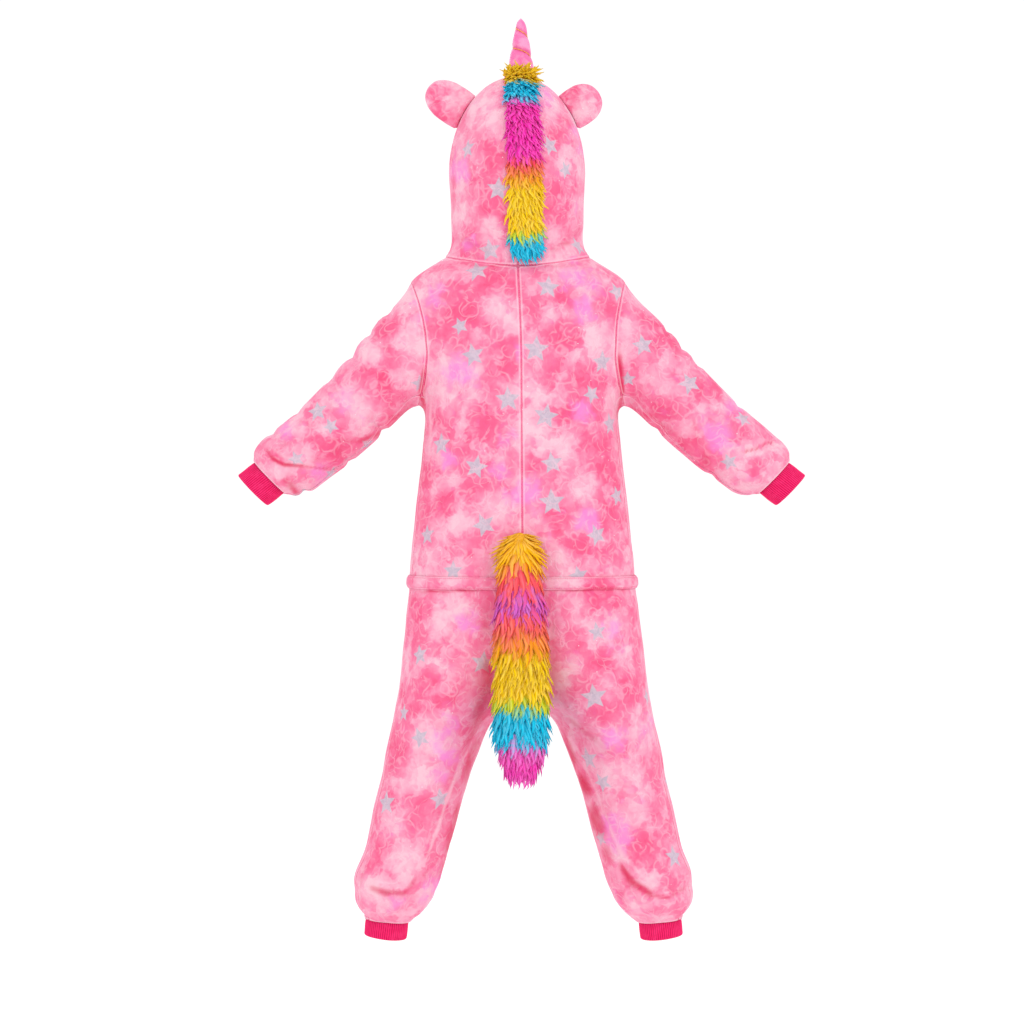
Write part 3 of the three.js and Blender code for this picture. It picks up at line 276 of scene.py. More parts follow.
# ---------------------------------------------------------------- the two skins
def beyond(across, deep, half, depth, power):
    """How far a place lies beyond a rounded oval, below 0 inside it."""
    reach = np.maximum(np.hypot(across, deep), 1e-6)
    ratio = (np.abs(across / half) ** power + np.abs(deep / depth) ** power) ** (1 / power)
    return reach - reach / np.maximum(ratio, 1e-9)


def along(p):
    """How far down the arm."""
    return np.abs(p[:, 0]) * ARM_OUT - p[:, 2] * ARM_DOWN


def rise(p):
    """How far above the arm's line."""
    return np.abs(p[:, 0]) * ARM_DOWN + p[:, 2] * ARM_OUT


def line_height(lines, p):
    """The height of folds or creases at points of a skin, seen from their face."""
    out = np.zeros(len(p))
    for x0, z0, x1, z1, height, wide, face in lines:
        d = np.array([x1 - x0, z1 - z0])
        near = (np.abs(p[:, 0] - (x0 + x1) / 2) < abs(d[0]) / 2 + 3 * wide) & (
            np.abs(p[:, 2] - (z0 + z1) / 2) < abs(d[1]) / 2 + 3 * wide
        )
        q = p[near]
        if not len(q):
            continue
        t = np.clip(((q[:, 0] - x0) * d[0] + (q[:, 2] - z0) * d[1]) / (d @ d), 0, 1)
        away = np.hypot(q[:, 0] - x0 - d[0] * t, q[:, 2] - z0 - d[1] * t)
        out[near] += height * (ease(-12, 28, q[:, 1] * face) if face else 1) * np.exp(-((away / wide) ** 2))
    return out


def torso(p):
    row = TORSO(p[:, 2])
    return beyond(p[:, 0], p[:, 1], row["half"], np.where(p[:, 1] > 0, row["back"], row["front"]), BODY_SQUARE)


def tilted(p, side=1):
    return p[:, 2] - ANKLE_TILT * (p[:, 0] * side - ANKLE_X) * ease(-780, -880, p[:, 2])


def leg(p, side):
    row = LEG(tilted(p, side))
    across = p[:, 0] * side - row["centre"]
    deep = p[:, 1] - row["back"]
    gather = 1.5 * ease(-850, -885, p[:, 2]) * (1 - ease(-898, -906, p[:, 2]))
    tube = beyond(across, deep, row["half"], row["depth"], LEG_SQUARE)
    return tube - gather * np.cos(7 * np.arctan2(deep, across) + 0.6)


def sleeve(p):
    s = along(p)
    row = SLEEVE(s)
    across = rise(p) - row["rise"]
    gather = 1.5 * ease(405, 435, s) * (1 - ease(448, 455, s))
    tube = beyond(across, p[:, 1], row["height"], row["depth"], SLEEVE_SQUARE)
    tube = tube - gather * np.cos(6 * np.arctan2(p[:, 1], across) + 0.4)
    return -blend(-tube, s - SLEEVE_START, SLEEVE_BLEND)


def body(p):
    split = ease(HIP_TOP, HIP_BOTTOM, p[:, 2])
    skin = (1 - split) * torso(p) + split * blend(leg(p, 1), leg(p, -1), LEG_BLEND)
    return blend(skin, sleeve(p), ARMPIT_BLEND)


def hood(p):
    row = HOOD(np.minimum(p[:, 2], CROWN_Z))
    up = np.maximum(p[:, 2] - CROWN_Z, 0)
    depth = np.where(p[:, 1] > 0, row["back"], row["front"])
    ratio = np.sqrt((p[:, 0] / row["half"]) ** 2 + (p[:, 1] / depth) ** 2 + (up / CROWN_HEIGHT) ** 2)
    reach = np.sqrt(p[:, 0] ** 2 + p[:, 1] ** 2 + up**2)
    return reach - reach / np.maximum(ratio, 1e-9)


# ---------------------------------------------------------------- seams
def centre_seam(p):
    return p[:, 0]


def side_seam(p):
    return p[:, 1] - SIDE_Y


def shoulder_seam(p):
    return p[:, 1]


def inseam(p):
    return p[:, 1] - INSEAM_Y


def waist_seam(p):
    return p[:, 2] - WAIST_Z


def ankle_seam(p):
    return tilted(p) - LEG_END


def wrist_seam(p):
    return along(p) - SLEEVE_END


def underarm_seam(p):
    return p[:, 1] - SIDE_Y - (8 - SIDE_Y) * ease(200, 440, along(p))


def armhole_seam(p):
    down = (p[:, 2] - ARMHOLE_TOP) / (ARMHOLE_BOTTOM - ARMHOLE_TOP)
    return p[:, 0] - (149 - 8 * down - 56 * down * (1 - down))


def neck_seam(p):
    across, deep = (p[:, 0] / NECK_HALF) ** 2, (p[:, 1] / NECK_DEPTH) ** 2
    ends = np.where(p[:, 1] > 0, NECK_BACK_Z, NECK_FRONT_Z)
    return p[:, 2] - (NECK_SIDE_Z * across + ends * deep) / (across + deep)


def face_seam(p):
    bearing = np.degrees(np.arctan2(p[:, 2] - FACE_Z, np.abs(p[:, 0])))
    return np.hypot(p[:, 0], p[:, 2] - FACE_Z) - FACE(bearing)["reach"]


def height(p):
    return p[:, 2]


def held_at(axis, values):
    """A measure that is nought where each point has its own value on an axis."""
    return lambda p: p[:, axis] - np.resize(values, len(p))


def on_ray(turn):
    """A measure that is nought where each point lies on its own ray from the upright axis."""
    def measure(p):
        a = np.resize(turn, len(p))
        return p[:, 1] * np.cos(a) - p[:, 0] * np.sin(a)

    return measure


# ---------------------------------------------------------------- coarse grids of the panels
def at(skin, guess, *rules):
    """The place on a skin near a guess where the rules hold."""
    return settle(np.array([guess], float), [(skin, 0), *rules])[0]


def turn_between(skin, left, right, count, axis_at, face):
    """Grid rows from left points to right points, turning about an upright axis by the back or the front."""

    def bearing(p):
        axis = axis_at(p[:, 2])
        angle = np.arctan2(p[:, 1] - axis[1], p[:, 0] - axis[0])
        return angle - 2 * np.pi * np.round((angle - face * np.pi / 2) / (2 * np.pi))

    start, end = bearing(left), bearing(right)
    rows = [left]
    for i in range(1, count):
        t = i / count
        z = left[:, 2] + (right[:, 2] - left[:, 2]) * t
        angle = start + (end - start) * t
        axis = axis_at(z)
        origin = np.stack([axis[0], axis[1], z], axis=1)
        rows.append(leave(skin, origin, np.stack([np.cos(angle), np.sin(angle), 0 * z], axis=1)))
    rows.append(right)
    return np.stack(rows, axis=1)


def relax(skin, grid, rounds, first, last):
    """Evens out the spacing of rows of a grid, inside its edges."""
    first, last = max(first, 1), min(last, len(grid) - 1)
    for _ in range(rounds):
        middle = (grid[first - 1 : last - 1] + grid[first + 1 : last + 1])[:, 1:-1]
        middle = (middle + grid[first:last, :-2] + grid[first:last, 2:]) / 4
        new = grid[first:last, 1:-1] * 0.4 + middle * 0.6
        grid[first:last, 1:-1] = settle(new.reshape(-1, 3), [(skin, 0)]).reshape(new.shape)
    return grid


def arm_turns(skin, face):
    corner = at(skin, [147, SIDE_Y, -178], (armhole_seam, 0), (side_seam, 0))
    start = math.atan2(corner[1], corner[2] - ARMHOLE_MID)
    return np.linspace(start, 0, 10) if face > 0 else np.linspace(start - 2 * np.pi, 0, 12)


def arm_points(skin, turns, gap):
    guess = np.stack([
        0 * turns + ARMHOLE_X, ARMHOLE_REACH * np.sin(turns), ARMHOLE_MID + ARMHOLE_REACH * np.cos(turns),
    ], axis=1)

    def on_spoke(p):
        a = np.resize(turns, len(p))
        return p[:, 1] * np.cos(a) - (p[:, 2] - ARMHOLE_MID) * np.sin(a)

    return settle(guess, [(skin, 0), (armhole_seam, gap), (on_spoke, 0)], 30)


def torso_grid(face):
    skin, gap = body, -SEAM
    rim = arm_points(skin, arm_turns(skin, face), gap)
    low = at(skin, [157, SIDE_Y, WAIST_Z], (side_seam, 0), (height, WAIST_Z))
    side = low + (rim[0] - low) * np.linspace(0, 1, 9)[:, None]
    side = settle(side, [(skin, 0), (side_seam, face * SEAM)])
    neck = at(skin, [NECK_HALF, 0, NECK_SIDE_Z], (neck_seam, 0), (shoulder_seam, 0))
    shoulder = rim[-1] + (neck - rim[-1]) * np.linspace(0, 1, 4)[:, None]
    right = np.concatenate([side[:-1], rim[:-1], settle(shoulder, [(skin, 0)])])
    run = np.concatenate([[0], np.cumsum(np.linalg.norm(np.diff(right, axis=0), axis=1))])
    z = WAIST_Z + ((NECK_BACK_Z if face > 0 else NECK_FRONT_Z) - WAIST_Z) * run / run[-1]
    guess = np.stack([0 * z + SEAM, 0 * z + face * 90, z], axis=1)
    left = settle(guess, [(skin, 0), (centre_seam, SEAM)])
    left[:, 2] = z
    left = settle(left, [(skin, 0), (centre_seam, SEAM)])

    def short_of_armhole(p):
        return np.maximum(skin(p), armhole_seam(p) + 4)

    grid = turn_between(short_of_armhole, left, right, 9, lambda z: (0 * z, 0 * z), face)
    grid = relax(skin, grid, 8, 4, len(grid) - 1)
    n = len(grid) - 1
    tip = 8 + len(rim) - 1
    return grid, [
        ("left", 0, n, centre_seam, SEAM), ("bottom", 0, 0, waist_seam, SEAM), ("top", 0, 0, neck_seam, -SEAM),
        ("right", 0, 8, side_seam, face * SEAM), ("right", 8, tip, armhole_seam, -SEAM),
        ("right", tip, n, shoulder_seam, face * SEAM),
    ]


def sleeve_grid():
    skin = body
    turns = np.concatenate([arm_turns(skin, 1), arm_turns(skin, -1)[::-1][1:]])
    rim = arm_points(skin, turns, SEAM)
    steps = [0, 0.06, 0.15, 0.26, 0.38, 0.5, 0.62, 0.73, 0.82, 0.89, 0.935, 0.965, 0.985, 1]
    n = len(turns) - 1
    begin = np.unwrap(np.arctan2(rim[:, 1], rise(rim) - SLEEVE(along(rim))["rise"]))
    end = np.radians(165) - 2 * np.pi * np.arange(n + 1) / n
    begin += 2 * np.pi * np.round((end[0] - begin[0]) / (2 * np.pi))
    rows = [rim]
    for t in steps[1:]:
        s = along(rim) + (SLEEVE_END - along(rim)) * t
        turn = begin + (end - begin) * ease(0, 1, t)
        lift = SLEEVE(s)["rise"]
        origin = np.stack([s * ARM_OUT + lift * ARM_DOWN, 0 * s, lift * ARM_OUT - s * ARM_DOWN], axis=1)
        way = np.stack([np.cos(turn) * ARM_DOWN, np.sin(turn), np.cos(turn) * ARM_OUT], axis=1)
        rows.append(leave(skin, origin, way))
    m = len(steps) - 1
    return np.stack(rows), [
        ("bottom", 0, 0, armhole_seam, SEAM), ("top", 0, 0, wrist_seam, -SEAM),
        ("left", 0, m, underarm_seam, SEAM), ("right", 0, m, underarm_seam, -SEAM),
    ]


def leg_grid(face):
    skin = body
    crotch = at(skin, [SEAM, INSEAM_Y, -596], (centre_seam, SEAM), (inseam, face * SEAM))
    foot = at(skin, [160, INSEAM_Y, LEG_END], (inseam, 0), (ankle_seam, 0))

    def descent(p):
        return 0.6 * p[:, 0] - 0.8 * p[:, 2]

    heights = [
        at(skin, [SEAM, face * 105, z], (centre_seam, SEAM), (height, z)) for z in (WAIST_Z, -458, -480)
    ]
    turns = np.radians([0, -18, -35, -51, -65, -78])
    way = np.stack([0 * turns, face * np.cos(turns), np.sin(turns)], axis=1)
    seat = leave(skin, np.tile([SEAM, INSEAM_Y, SEAT_Z], (6, 1)), way)
    shares = [0, 0.035, 0.085, 0.16, 0.26, 0.38, 0.5, 0.62, 0.73, 0.82, 0.89, 0.94, 0.975, 1]
    levels = [descent(q[None])[0] for q in (crotch, foot)]
    inner = [crotch] + [
        at(
            skin, crotch + (foot - crotch) * t, (inseam, face * SEAM),
            (descent, levels[0] + (levels[1] - levels[0]) * t),
        )
        for t in shares[1:]
    ]
    left = np.array([*heights, *seat, *inner])
    c = 9
    z = [WAIST_Z + (CROTCH_Z - WAIST_Z) * j / c for j in range(c)]
    z = np.array(z + [CROTCH_Z + (LEG_END - CROTCH_Z) * t for t in shares])

    def axis_at(z):
        row = LEG(z)
        return 60 + (row["centre"] - 60) * ease(-436, -560, z), row["back"]

    right = np.stack([axis_at(z)[0] + 60, 0 * z + SIDE_Y, z], axis=1)
    right = settle(right, [(skin, 0), (side_seam, face * SEAM)])
    grid = turn_between(skin, left, right, 11, axis_at, face)
    grid = relax(skin, grid, 12, 1, c + 4)
    n = len(grid) - 1
    return grid, [
        ("bottom", 0, 0, waist_seam, -SEAM), ("top", 0, 0, ankle_seam, SEAM), ("left", 0, c, centre_seam, SEAM),
        ("left", c, n, inseam, face * SEAM), ("right", 0, n, side_seam, face * SEAM),
    ]


def hood_grid():
    skin, columns, rows = hood, 18, 12
    chin = at(skin, [8, -77, -28], (neck_seam, SEAM), (face_seam, 0))
    bearings = np.radians(90 - 10.0 * np.arange(columns + 1))
    bearings[-1] = math.atan2(chin[1], chin[0])
    low = []
    for a in bearings:
        low.append(at(skin, [100 * np.cos(a), 75 * np.sin(a), 0], (neck_seam, SEAM), (on_ray(a), 0)))
    forehead = at(skin, [0, -85, 200], (centre_seam, SEAM), (face_seam, 0))
    turn = np.linspace(math.atan2(-112, 71), math.atan2(forehead[2] - HOOD_MIDDLE, forehead[1]), rows + 1)
    middle = np.tile([SEAM, 0, HOOD_MIDDLE], (rows + 1, 1))
    left = leave(skin, middle, np.stack([0 * turn, np.cos(turn), np.sin(turn)], axis=1))

    def face_point(bearing):
        a = math.radians(bearing)
        reach = float(FACE(bearing)["reach"])

        def on_bearing(p):
            return p[:, 0] * math.sin(a) - (p[:, 2] - FACE_Z) * math.cos(a)

        guess = [reach * math.cos(a), -70, FACE_Z + reach * math.sin(a)]
        return at(skin, guess, (face_seam, 0), (on_bearing, 0))

    chin_turn = math.degrees(math.atan2(chin[2] - FACE_Z, chin[0]))
    right = np.array([face_point(b) for b in np.linspace(chin_turn, 56, rows + 1)])
    high = np.array([face_point(b) for b in np.linspace(90, 56, columns + 1)])
    low, high[0] = np.array(low), forehead
    u, v = np.linspace(0, 1, columns + 1)[None, :, None], np.linspace(0, 1, rows + 1)[:, None, None]
    grid = low[None] * (1 - v) + high[None] * v + left[:, None] * (1 - u) + right[:, None] * u
    grid = grid - (low[0] * (1 - u) + low[-1] * u) * (1 - v) - (high[0] * (1 - u) + high[-1] * u) * v
    grid = settle(grid.reshape(-1, 3), [(skin, 0)]).reshape(grid.shape)
    grid = relax(skin, grid, 6, 1, rows)
    return grid, [
        ("left", 0, rows, centre_seam, SEAM), ("bottom", 0, 0, neck_seam, SEAM),
        ("top", 0, 0, face_seam, 0), ("right", 0, rows, face_seam, 0),
    ]


# ---------------------------------------------------------------- from coarse grid to cloth
def finer(grid, k):
    """The same grid with k steps for each one, along smooth curves through its points."""

    def one_way(g):
        g = np.array([2 * g[0] - g[1], *g, 2 * g[-1] - g[-2]])
        t = (np.arange(k) / k).reshape((-1,) + (1,) * (g.ndim - 1))
        parts = []
        for i in range(1, len(g) - 2):
            a, b, c, d = g[i - 1], g[i], g[i + 1], g[i + 2]
            square, cube = 2 * a - 5 * b + 4 * c - d, 3 * b - a - 3 * c + d
            parts.append(0.5 * (2 * b + (c - a) * t + square * t**2 + cube * t**3))
        return np.concatenate([*parts, g[-2][None]])

    grid = one_way(grid)
    return one_way(grid.transpose(1, 0, 2)).transpose(1, 0, 2)


def runs(grid):
    """Lengths along the rows and the columns of a grid, from its left and its bottom edge."""
    across = np.cumsum(np.linalg.norm(np.diff(grid, axis=1), axis=2), axis=1)
    up = np.cumsum(np.linalg.norm(np.diff(grid, axis=0), axis=2), axis=0)
    return np.pad(across, ((0, 0), (1, 0))), np.pad(up, ((1, 0), (0, 0)))


def wall_faces(rows, columns):
    """A cloth's outer and inner grids of points, and the four edges between them."""
    o = np.arange(rows * columns).reshape(rows, columns)
    n = o + rows * columns
    return np.concatenate([
        np.stack([corner.ravel() for corner in quad], axis=1)
        for quad in (
            (o[:-1, :-1], o[:-1, 1:], o[1:, 1:], o[1:, :-1]),
            (n[:-1, :-1], n[1:, :-1], n[1:, 1:], n[:-1, 1:]),
            (o[:-1, 0], o[1:, 0], n[1:, 0], n[:-1, 0]),
            (o[1:, -1], o[:-1, -1], n[:-1, -1], n[1:, -1]),
            (o[0, 1:], o[0, :-1], n[0, :-1], n[0, 1:]),
            (o[-1, :-1], o[-1, 1:], n[-1, 1:], n[-1, :-1]),
        )
    ]).tolist()


def ring_quads(rings, columns, closed=False):
    """Quads from each ring of points to the next, and from the last to the first where they are closed."""
    index = np.arange(rings * columns).reshape(rings, columns)
    if closed:
        index = np.concatenate([index, index[:1]])
    turned = np.roll(index, -1, axis=1)
    return np.stack([index[:-1], turned[:-1], turned[1:], index[1:]], axis=-1).reshape(-1, 4).tolist()


def loft(rings, cap, tip):
    """Points and faces of a form through rings, closed at its cap and its tip."""
    n, m = rings.shape[:2]
    last = (n - 1) * m
    faces = ring_quads(n, m)
    faces += [[(i + 1) % m, i, n * m] for i in range(m)]
    faces += [[last + i, last + (i + 1) % m, n * m + 1] for i in range(m)]
    return np.concatenate([rings.reshape(-1, 3), [cap, tip]]), faces


def place(points, side=1):
    """Millimetres on the left side to metres on the named side, with the garment's lean."""
    p = np.array(points, float)
    p[:, 0] = p[:, 0] * side + LEAN(p[:, 2])["by"]
    return p * MM


def linked(name, data):
    """An object of the scene, at the origin."""
    piece = bpy.data.objects.new(name, data)
    bpy.context.scene.collection.objects.link(piece)
    return piece


def store(mesh, key, values):
    """Keeps a vector for each point of a mesh."""
    kept = mesh.attributes.new(key, "FLOAT_VECTOR", "POINT")
    kept.data.foreach_set("vector", np.asarray(values, np.float32).ravel())


def new_mesh(name, points, faces, material, vectors=None):
    """A smooth mesh in one material, with a vector for each point under each given key."""
    mesh = bpy.data.meshes.new(name)
    mesh.from_pydata(np.asarray(points).tolist(), [], faces)
    mesh.polygons.foreach_set("use_smooth", np.ones(len(faces), bool))
    for key, values in (vectors or {}).items():
        store(mesh, key, values)
    mesh.materials.append(material)
    return mesh


def make_piece(name, points, faces, material, vectors=None, uv=None):
    """A piece of triangles and quads, turned to face out."""
    a, b, c, d = (points[[f[min(i, len(f) - 1)] for f in faces]] for i in range(4))
    if (a * np.cross(b, c)).sum() + (a * np.cross(c, d)).sum() < 0:
        faces = [f[::-1] for f in faces]
    mesh = new_mesh(name, points, faces, material, vectors)
    if uv is not None:
        corner = np.empty(len(mesh.loops), int)
        mesh.loops.foreach_get("vertex_index", corner)
        layer = mesh.uv_layers.new(name="cloth")
        layer.data.foreach_set("uv", uv[corner].ravel().astype(np.float32))
    return linked(name, mesh)


def dress(piece, node):
    """Puts a piece in the place of its node, on the one body."""
    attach(piece, "root")
    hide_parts(node)


# ---------------------------------------------------------------- cloth: dents, hems and creases on a fine grid
def edge_lines(count, k):
    """Places of the fine rows, closer together by the two edges."""
    last = count * k
    near = np.array([0, 0.22, 0.5, 0.8, 1.15, 1.55])
    return np.concatenate([near, np.arange(2, last - 1), last - near[::-1]])


def resample(grid, rows, columns):
    """The grid at places between its rows and columns."""

    def pick(g, places):
        i = np.minimum(places.astype(int), len(g) - 2)
        t = (places - i)[:, None, None]
        return g[i] * (1 - t) + g[i + 1] * t

    return pick(pick(grid, rows).transpose(1, 0, 2), columns).transpose(1, 0, 2)


def fine_panel(skin, coarse, edges, k):
    """The panel's fine grid on its smooth skin, with its edges on their seams."""
    rows, columns = edge_lines(len(coarse) - 1, k), edge_lines(coarse.shape[1] - 1, k)
    grid = resample(finer(coarse, k), rows, columns)
    held = {}
    for where, first, last, seam, level in edges:
        if where in ("left", "right"):
            i = 0 if where == "left" else len(columns) - 1
            spots = [(j, i) for j, row in enumerate(rows) if first * k <= row <= last * k]
        else:
            spots = [(0 if where == "bottom" else len(rows) - 1, i) for i in range(len(columns))]
        for spot in spots:
            held.setdefault(spot, []).append((seam, level))
    flat = settle(grid.reshape(-1, 3), [(skin, 0)], 5)
    groups = {}
    for (j, i), rules in held.items():
        groups.setdefault(tuple(rules), []).append(j * len(columns) + i)
    for rules, places in groups.items():
        flat[places] = settle(flat[places], [(skin, 0), *rules])
    return flat.reshape(grid.shape)


def surface_height(skin, p, side):
    """How far the worn cloth stands off its smooth skin: folds, creases and slack."""
    q = p * [side, 1, 1]
    folds, creases, slack = (HOOD_FOLDS, HOOD_CREASES, 0.7) if skin is hood else (FOLDS, CREASES, 1.0)
    _, hollow = drawn(q)
    lines = line_height(folds, q) + line_height(creases, q)
    return lines - hollow + slack * (0.9 * cloud(q, 52, 5) + 0.45 * cloud(q, 21, 6))


def raised(skin, p, by=0.0, side=1):
    """Points of a skin moved outward to the worn cloth, and further by the given height."""
    shape = p.shape
    p = p.reshape(-1, 3)
    by = np.broadcast_to(by, shape[:-1]).reshape(-1, 1)
    return (p + outward(skin, p) * (surface_height(skin, p, side)[:, None] + by)).reshape(shape)


def ridge(away, width, power=2):
    """One at a line and nought far from it."""
    return np.exp(-((away / width) ** power))


def to_neckline(base, up):
    """Eases the hood's lower edge out to the neckline that it is sewn to."""
    edge = base[0]
    ray = on_ray(np.arctan2(edge[:, 1], edge[:, 0]))
    sewn_at = settle(edge, [(body, 0), (neck_seam, SEAM), (ray, 0)])
    move = (sewn_at - edge) * ease(12, 45, np.abs(edge[:, :1]))
    return base + move[None] * (1 - ease(0, 34, up))[..., None]


FACE_HEM, NO_HEM = 13.0, 60
panels = []  # every cloth panel's grids and edge distances, before stars and dye go on


def cut_panel(name, side, skin, coarse, edges, k, open_edges=(), rolled=(), flush=()):
    """Works out a panel's two faces: open edges are hemmed, rolled ones bulge over a cuff, flush ones have no ditch."""
    base = fine_panel(skin, coarse, edges, k)
    u, v = runs(base)
    if skin is hood:
        base = to_neckline(base, v)
    away = {"left": u, "right": u[:, -1:] - u, "bottom": v, "top": v[-1:] - v}

    def nearest(*left_out):
        return np.minimum.reduce([far for where, far in away.items() if where not in left_out])

    sewn, ditch = nearest(*open_edges, *rolled), nearest(*open_edges, *rolled, *flush)
    hem = np.minimum.reduce([away[where] for where in open_edges]) if open_edges else 0 * u + NO_HEM
    flat = base.reshape(-1, 3)
    normal = outward(skin, flat).reshape(base.shape)
    lift = surface_height(skin, flat, side).reshape(u.shape) - 0.9 * ridge(ditch, 2.0)
    lift = lift + cloud(base * [side, 1, 1], 7.5, 11) * ridge(sewn, 9) * 0.55
    roll = 0 * u
    for where in rolled:
        lift = lift * ease(0, 9, away[where]) + 0.9 * ridge(away[where], 4)
        # roll marks where a pale painted highlight goes along the crest of the rolled edge.
        roll = ridge(away[where], 2.6)
    if open_edges:
        lift = lift + 0.9 * ridge(hem - 5.5, 5.0, 4) - 0.8 * ridge(hem - FACE_HEM, 2.2)
    if skin is hood:
        lift = lift - 0.7 * ridge(v - 5.2, 1.3) + 0.5 * ridge(v - 2.8, 1.3)
    outer = base + normal * lift[..., None]
    panels.append({
        "name": name, "side": side, "outer": outer, "inner": outer - normal * CLOTH, "normal": normal,
        "u": u, "v": v, "sewn": sewn, "hem": hem, "base": base, "roll": roll,
        "rows": edge_lines(len(coarse) - 1, k) / k,
    })


def shown_at(points):
    """Where points in metres stand in the back view's charts, in their units."""
    p = points * 1000
    near = CAMERA[1] / (CAMERA[1] - p[..., 1]) / CHART_UNIT
    return CHART_MIDDLE - (p[..., 0] - CAMERA[0]) * near, CHART_MIDDLE - (p[..., 2] - CAMERA[2]) * near


# Printed stars on the back: place in the chart, tip radius in millimetres, and turn in degrees.
STARS = [
    (468, 149, 15, 10), (550, 145.5, 15, 20), (498, 189, 17, -8), (566, 170, 13, 30), (490, 250, 16, 5),
    (578, 246, 15, 12), (477, 270, 17, 14), (548, 287, 17, -6), (460, 326, 13, 22), (473, 355, 17, 12),
    (536, 349, 19, -4), (617, 292, 15, 18), (602, 362, 17, 6), (508, 399, 18, 2), (546, 416, 18, -10),
    (592, 394, 14, 28), (610, 424, 16, 10), (441, 444, 16, 5), (476, 467, 17, -12), (552, 463, 16, 8),
    (617, 496, 15, 16), (552, 502, 19, 4), (484, 525, 17, 24), (427, 535, 15, 8), (597, 535, 16, 20),
    (453, 571, 15, 2), (579, 576, 15, 14), (597, 632, 14, 10), (420, 655, 15, 16), (483, 663, 17, -6),
    (594, 697, 19, 8), (647, 697, 14, 12), (404, 713, 13, 4), (420, 738, 15, 24), (588, 759, 17, 6),
    (602, 783, 15, 30), (440, 799, 16, 12), (386, 803, 18, 10), (667, 782, 14, 2), (600, 838, 14, 20),
    (674, 857, 17, -6), (317, 411, 16, 14), (331, 426, 12, 30), (368, 444, 14, 8), (296, 459, 12, 20),
    (421, 383, 14, 2), (331, 473, 12, 16), (643, 345, 16, 10), (690, 383, 17, 22), (743, 419, 14, 6),
    (729, 462, 13, 18), (628, 379, 12, 2),
]


NO_STAR = [9.0, 9.0, 0.0]
STAR_GAP = 0.056


def print_stars():
    """Lists each panel's stars: those of the chart, and on the sides and the front some by chance."""
    for panel in panels:
        panel["points"] = place(panel["outer"].reshape(-1, 3), panel["side"])
        panel["out"] = panel["normal"].reshape(-1, 3) * [panel["side"], 1, 1]
        panel["seen"] = np.stack(shown_at(panel["points"]), axis=1)
        panel["stars"] = []
    for px, py, radius, turn in STARS:
        best = None
        for panel in panels:
            facing = np.where(panel["out"][:, 1] > 0.05, 0, 1e6)
            far = np.hypot(panel["seen"][:, 0] - px, panel["seen"][:, 1] - py) + facing
            i = int(far.argmin())
            if best is None or far[i] < best[0]:
                best = (far[i], panel, i)
        _, panel, i = best
        across = (px - panel["seen"][i, 0]) * CHART_UNIT * MM
        up = -(py - panel["seen"][i, 1]) * CHART_UNIT * MM
        panel["stars"].append((panel["points"][i] + [-across, 0, up], panel["out"][i], radius * MM, turn))
    draw = np.random.RandomState(21)
    for panel in panels:
        places = [star[0] for star in panel["stars"]]
        order = draw.permutation(len(panel["points"]))
        for i in order[:900]:
            p, n = panel["points"][i], panel["out"][i]
            if n[1] > -0.05 and panel["base"].reshape(-1, 3)[i, 1] > -5:
                continue
            if all(np.linalg.norm(p - other) > STAR_GAP for other in places):
                places.append(p)
                panel["stars"].append((p, n, draw.uniform(0.0125, 0.0185), draw.uniform(-36, 36)))


def star_layers(panel):
    """Each cloth point's place in the nearest star, in its radii, and a fade. Close stars have a layer each."""
    layers = [np.tile(NO_STAR, (len(panel["points"]), 1)) for _ in range(2)]
    nearest = [np.full(len(panel["points"]), 1.75) for _ in range(2)]
    used = [[], []]
    for centre, normal, radius, turn in panel["stars"]:
        layer = 0 if all(np.linalg.norm(centre - c) > 3.6 * max(radius, r) for c, r in used[0]) else 1
        used[layer].append((centre, radius))
        up = unit(np.array([0, 0, 1]) - normal * normal[2])
        right = np.cross(up, normal)
        a = math.radians(turn)
        d = panel["points"] - centre
        x, y = d @ right / radius, d @ up / radius
        x, y = x * math.cos(a) + y * math.sin(a), y * math.cos(a) - x * math.sin(a)
        far = np.sqrt((d**2).sum(axis=1)) / radius
        take = far < nearest[layer]
        nearest[layer][take] = far[take]
        layers[layer][take] = np.stack([x, y, 1 - ease(1.18, 1.32, far)], axis=1)[take]
    return layers


